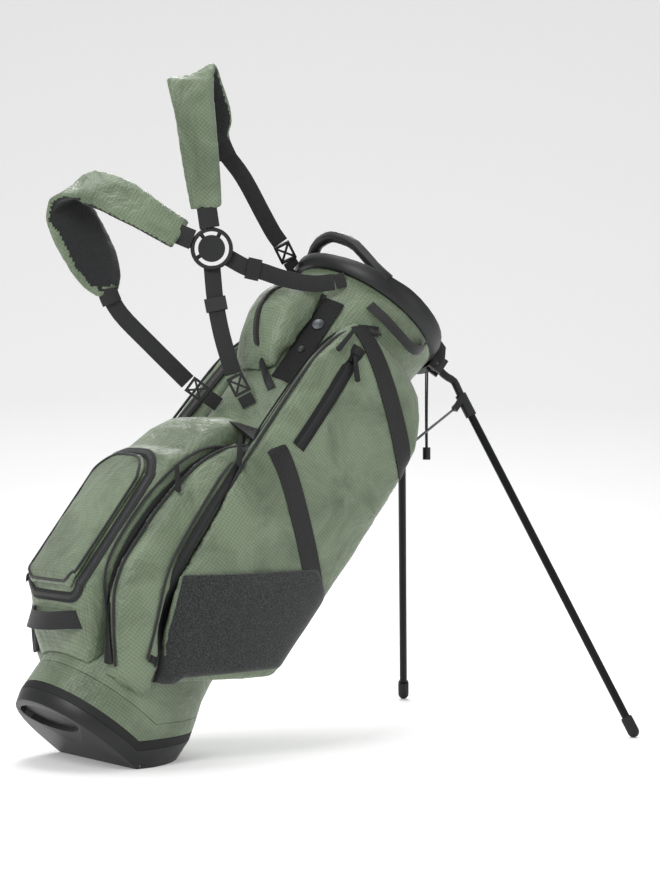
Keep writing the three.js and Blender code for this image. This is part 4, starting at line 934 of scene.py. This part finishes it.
def lid_outline(grow):
    """The ball pocket lid's outline across and up the bag, grown by some millimetres."""
    small = LID_CORNER / 2
    corners = (
        (LID_HALF_WIDTH - small, LID_BOTTOM + small, small, -90),
        (LID_HALF_WIDTH - LID_CORNER, LID_TOP - LID_CORNER, LID_CORNER, 0),
        (-LID_HALF_WIDTH + LID_CORNER, LID_TOP - LID_CORNER, LID_CORNER, 90),
        (-LID_HALF_WIDTH + small, LID_BOTTOM + small, small, 180),
    )
    outline = []
    for y, z, radius, start in corners:
        for step in range(5):
            turn = math.radians(start + 90 * step / 4)
            outline.append((y + (radius + grow) * math.cos(turn), z + (radius + grow) * math.sin(turn)))
    return outline


def knit_pocket(skin, side, word, low, high):
    """The open knit pocket: a sheet that hugs the side from the zip to the belly, under the lower band."""
    clear_selection()
    bpy.ops.mesh.primitive_grid_add(x_subdivisions=36, y_subdivisions=18, size=1, calc_uvs=True)
    piece = bpy.context.active_object
    for vertex in piece.data.vertices:
        u, v = vertex.co.x + 0.5, vertex.co.y + 0.5
        height = low + (high - low) * v
        rear = -103 - 20 * v
        front = min(-47.0, -47.0 - (height - 222) * 0.32)
        angle = rear + (front - rear) * u
        z = height
        for _ in range(5):
            place, normal = skin.round(angle, z, side)
            z += (height - place.z / MM) / math.cos(LEAN)
        bulge = 0.005 * math.sin(math.pi * u) * (0.2 + 0.8 * v)
        vertex.co = place + normal * (0.0012 + bulge)
    apply_modifier(piece, "SOLIDIFY", thickness=0.0016, offset=-float(side))
    apply_modifier(piece, "SUBSURF", levels=1, render_levels=1)
    make_active(piece)
    bpy.ops.object.mode_set(mode="EDIT")
    bpy.ops.mesh.select_all(action="SELECT")
    bpy.ops.mesh.normals_make_consistent(inside=False)
    bpy.ops.object.mode_set(mode="OBJECT")
    bpy.ops.object.shade_smooth()
    settle(piece, f"knit_pocket_{word}", "fleece", "bag")
    if word == "near":
        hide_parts("fleece_pocket")


class STANDBAG_OT_straps(bpy.types.Operator):
    """Shoulder pads, webbing, handles, cords and zip pulls"""

    bl_idname = "standbag.straps"
    bl_label = "Straps"

    def execute(self, context):
        pads = {"pad_left": (-150, 10, -15), "pad_upper": (-20, 150, -40)}
        for name, middle in pads.items():
            piece = filled(copy_of(name), 0.0035, -0.0006, 0.003, sizes().fullness)
            settle(piece, name + "_cloth", "ripstop", "bag")
            piece.data.materials.append(material("lining"))
            centre = strap(*middle)
            for face in piece.data.polygons:
                outward = (face.center - centre).normalized()
                face.material_index = 0 if face.normal.dot(outward) > 0.08 else 1
            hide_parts(name)
        for name in WEBBING.split():
            piece = copy_of(name)
            eased(piece, 0.0006, 50)
            make_active(piece)
            bpy.ops.object.mode_set(mode="EDIT")
            bpy.ops.mesh.select_all(action="SELECT")
            bpy.ops.uv.cube_project(cube_size=1.0)
            bpy.ops.object.mode_set(mode="OBJECT")
            bpy.ops.object.shade_smooth_by_angle(angle=math.radians(40))
            settle(piece, name + "_webbing", "webbing", "bag")
            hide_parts(name)
        for name in ("valuables_pull", "side_pull", "mid_pull", "ball_pull"):
            piece = copy_of(name)
            eased(piece, 0.0007, 50)
            make_active(piece)
            bpy.ops.object.shade_smooth_by_angle(angle=math.radians(40))
            settle(piece, name + "_rubber", "rubber", name)
            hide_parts(name)
        face = HARNESS.to_3x3() @ Vector((0, 0, 1))
        for name, points in (
            ("pad_left_neck", [(-28, 13, 0), (-38, 17, 0), (-50, 22, 0)]),
            ("pad_upper_neck", [(-3, 31, 0), (-5, 45, 0), (-8, 66, 0)]),
            ("pad_left_tab", [(-155, -58, -11), (-153, -68, -13), (-148, -80, -14)]),
            ("pad_upper_tab", [(9, 164, -79), (13, 154, -81), (20, 139, -84)]),
        ):
            route = [strap(*point) for point in points]
            ribbon(name, route, [face] * len(route), 0.027, 0.0062, "webbing")
        start = bag(131, -36.5, 796)
        for word, shift in (("a", -2.25), ("b", 2.25)):
            top = start + Vector((0, shift * MM, 0))
            end = start + Vector((0, shift / 1.6 * MM, -CORD_DROP))
            places = []
            for k in range(21):
                bow = Vector((0, 0.0006 * math.sin(math.pi * k / 20), 0))
                places.append(top.lerp(end, k / 20) + bow)
            piece = tube(f"cord_{word}", places, CORD_RADIUS, "webbing")
            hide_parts(f"elastic_cord_{word}")
        return {"FINISHED"}


class STANDBAG_PT_panel(bpy.types.Panel):
    """Lists the steps that build the bag"""

    bl_idname = "STANDBAG_PT_panel"
    bl_label = "Stand bag"
    bl_space_type = "VIEW_3D"
    bl_region_type = "UI"
    bl_category = "Stand bag"

    def draw(self, context):
        for step in STEPS:
            self.layout.operator(step.bl_idname)
        for group in (context.scene.stand_bag_sizes, context.scene.stand_bag_colours):
            for key in group.__annotations__:
                self.layout.prop(group, key)


STEPS = (
    STANDBAG_OT_stage,
    STANDBAG_OT_rigid,
    STANDBAG_OT_shell,
    STANDBAG_OT_pockets,
    STANDBAG_OT_trims,
    STANDBAG_OT_straps,
)
CLASSES = (StandBagSizes, StandBagColours, *STEPS, STANDBAG_PT_panel)


def register():
    for item in CLASSES:
        bpy.utils.register_class(item)
    bpy.types.Scene.stand_bag_sizes = bpy.props.PointerProperty(type=StandBagSizes)
    bpy.types.Scene.stand_bag_colours = bpy.props.PointerProperty(type=StandBagColours)


def unregister():
    del bpy.types.Scene.stand_bag_colours
    del bpy.types.Scene.stand_bag_sizes
    for item in reversed(CLASSES):
        bpy.utils.unregister_class(item)


def main():
    register()
    bpy.ops.standbag.stage()
    bpy.ops.standbag.rigid()
    bpy.ops.standbag.shell()
    bpy.ops.standbag.pockets()
    bpy.ops.standbag.trims()
    bpy.ops.standbag.straps()


if __name__ == "__main__":
    main()
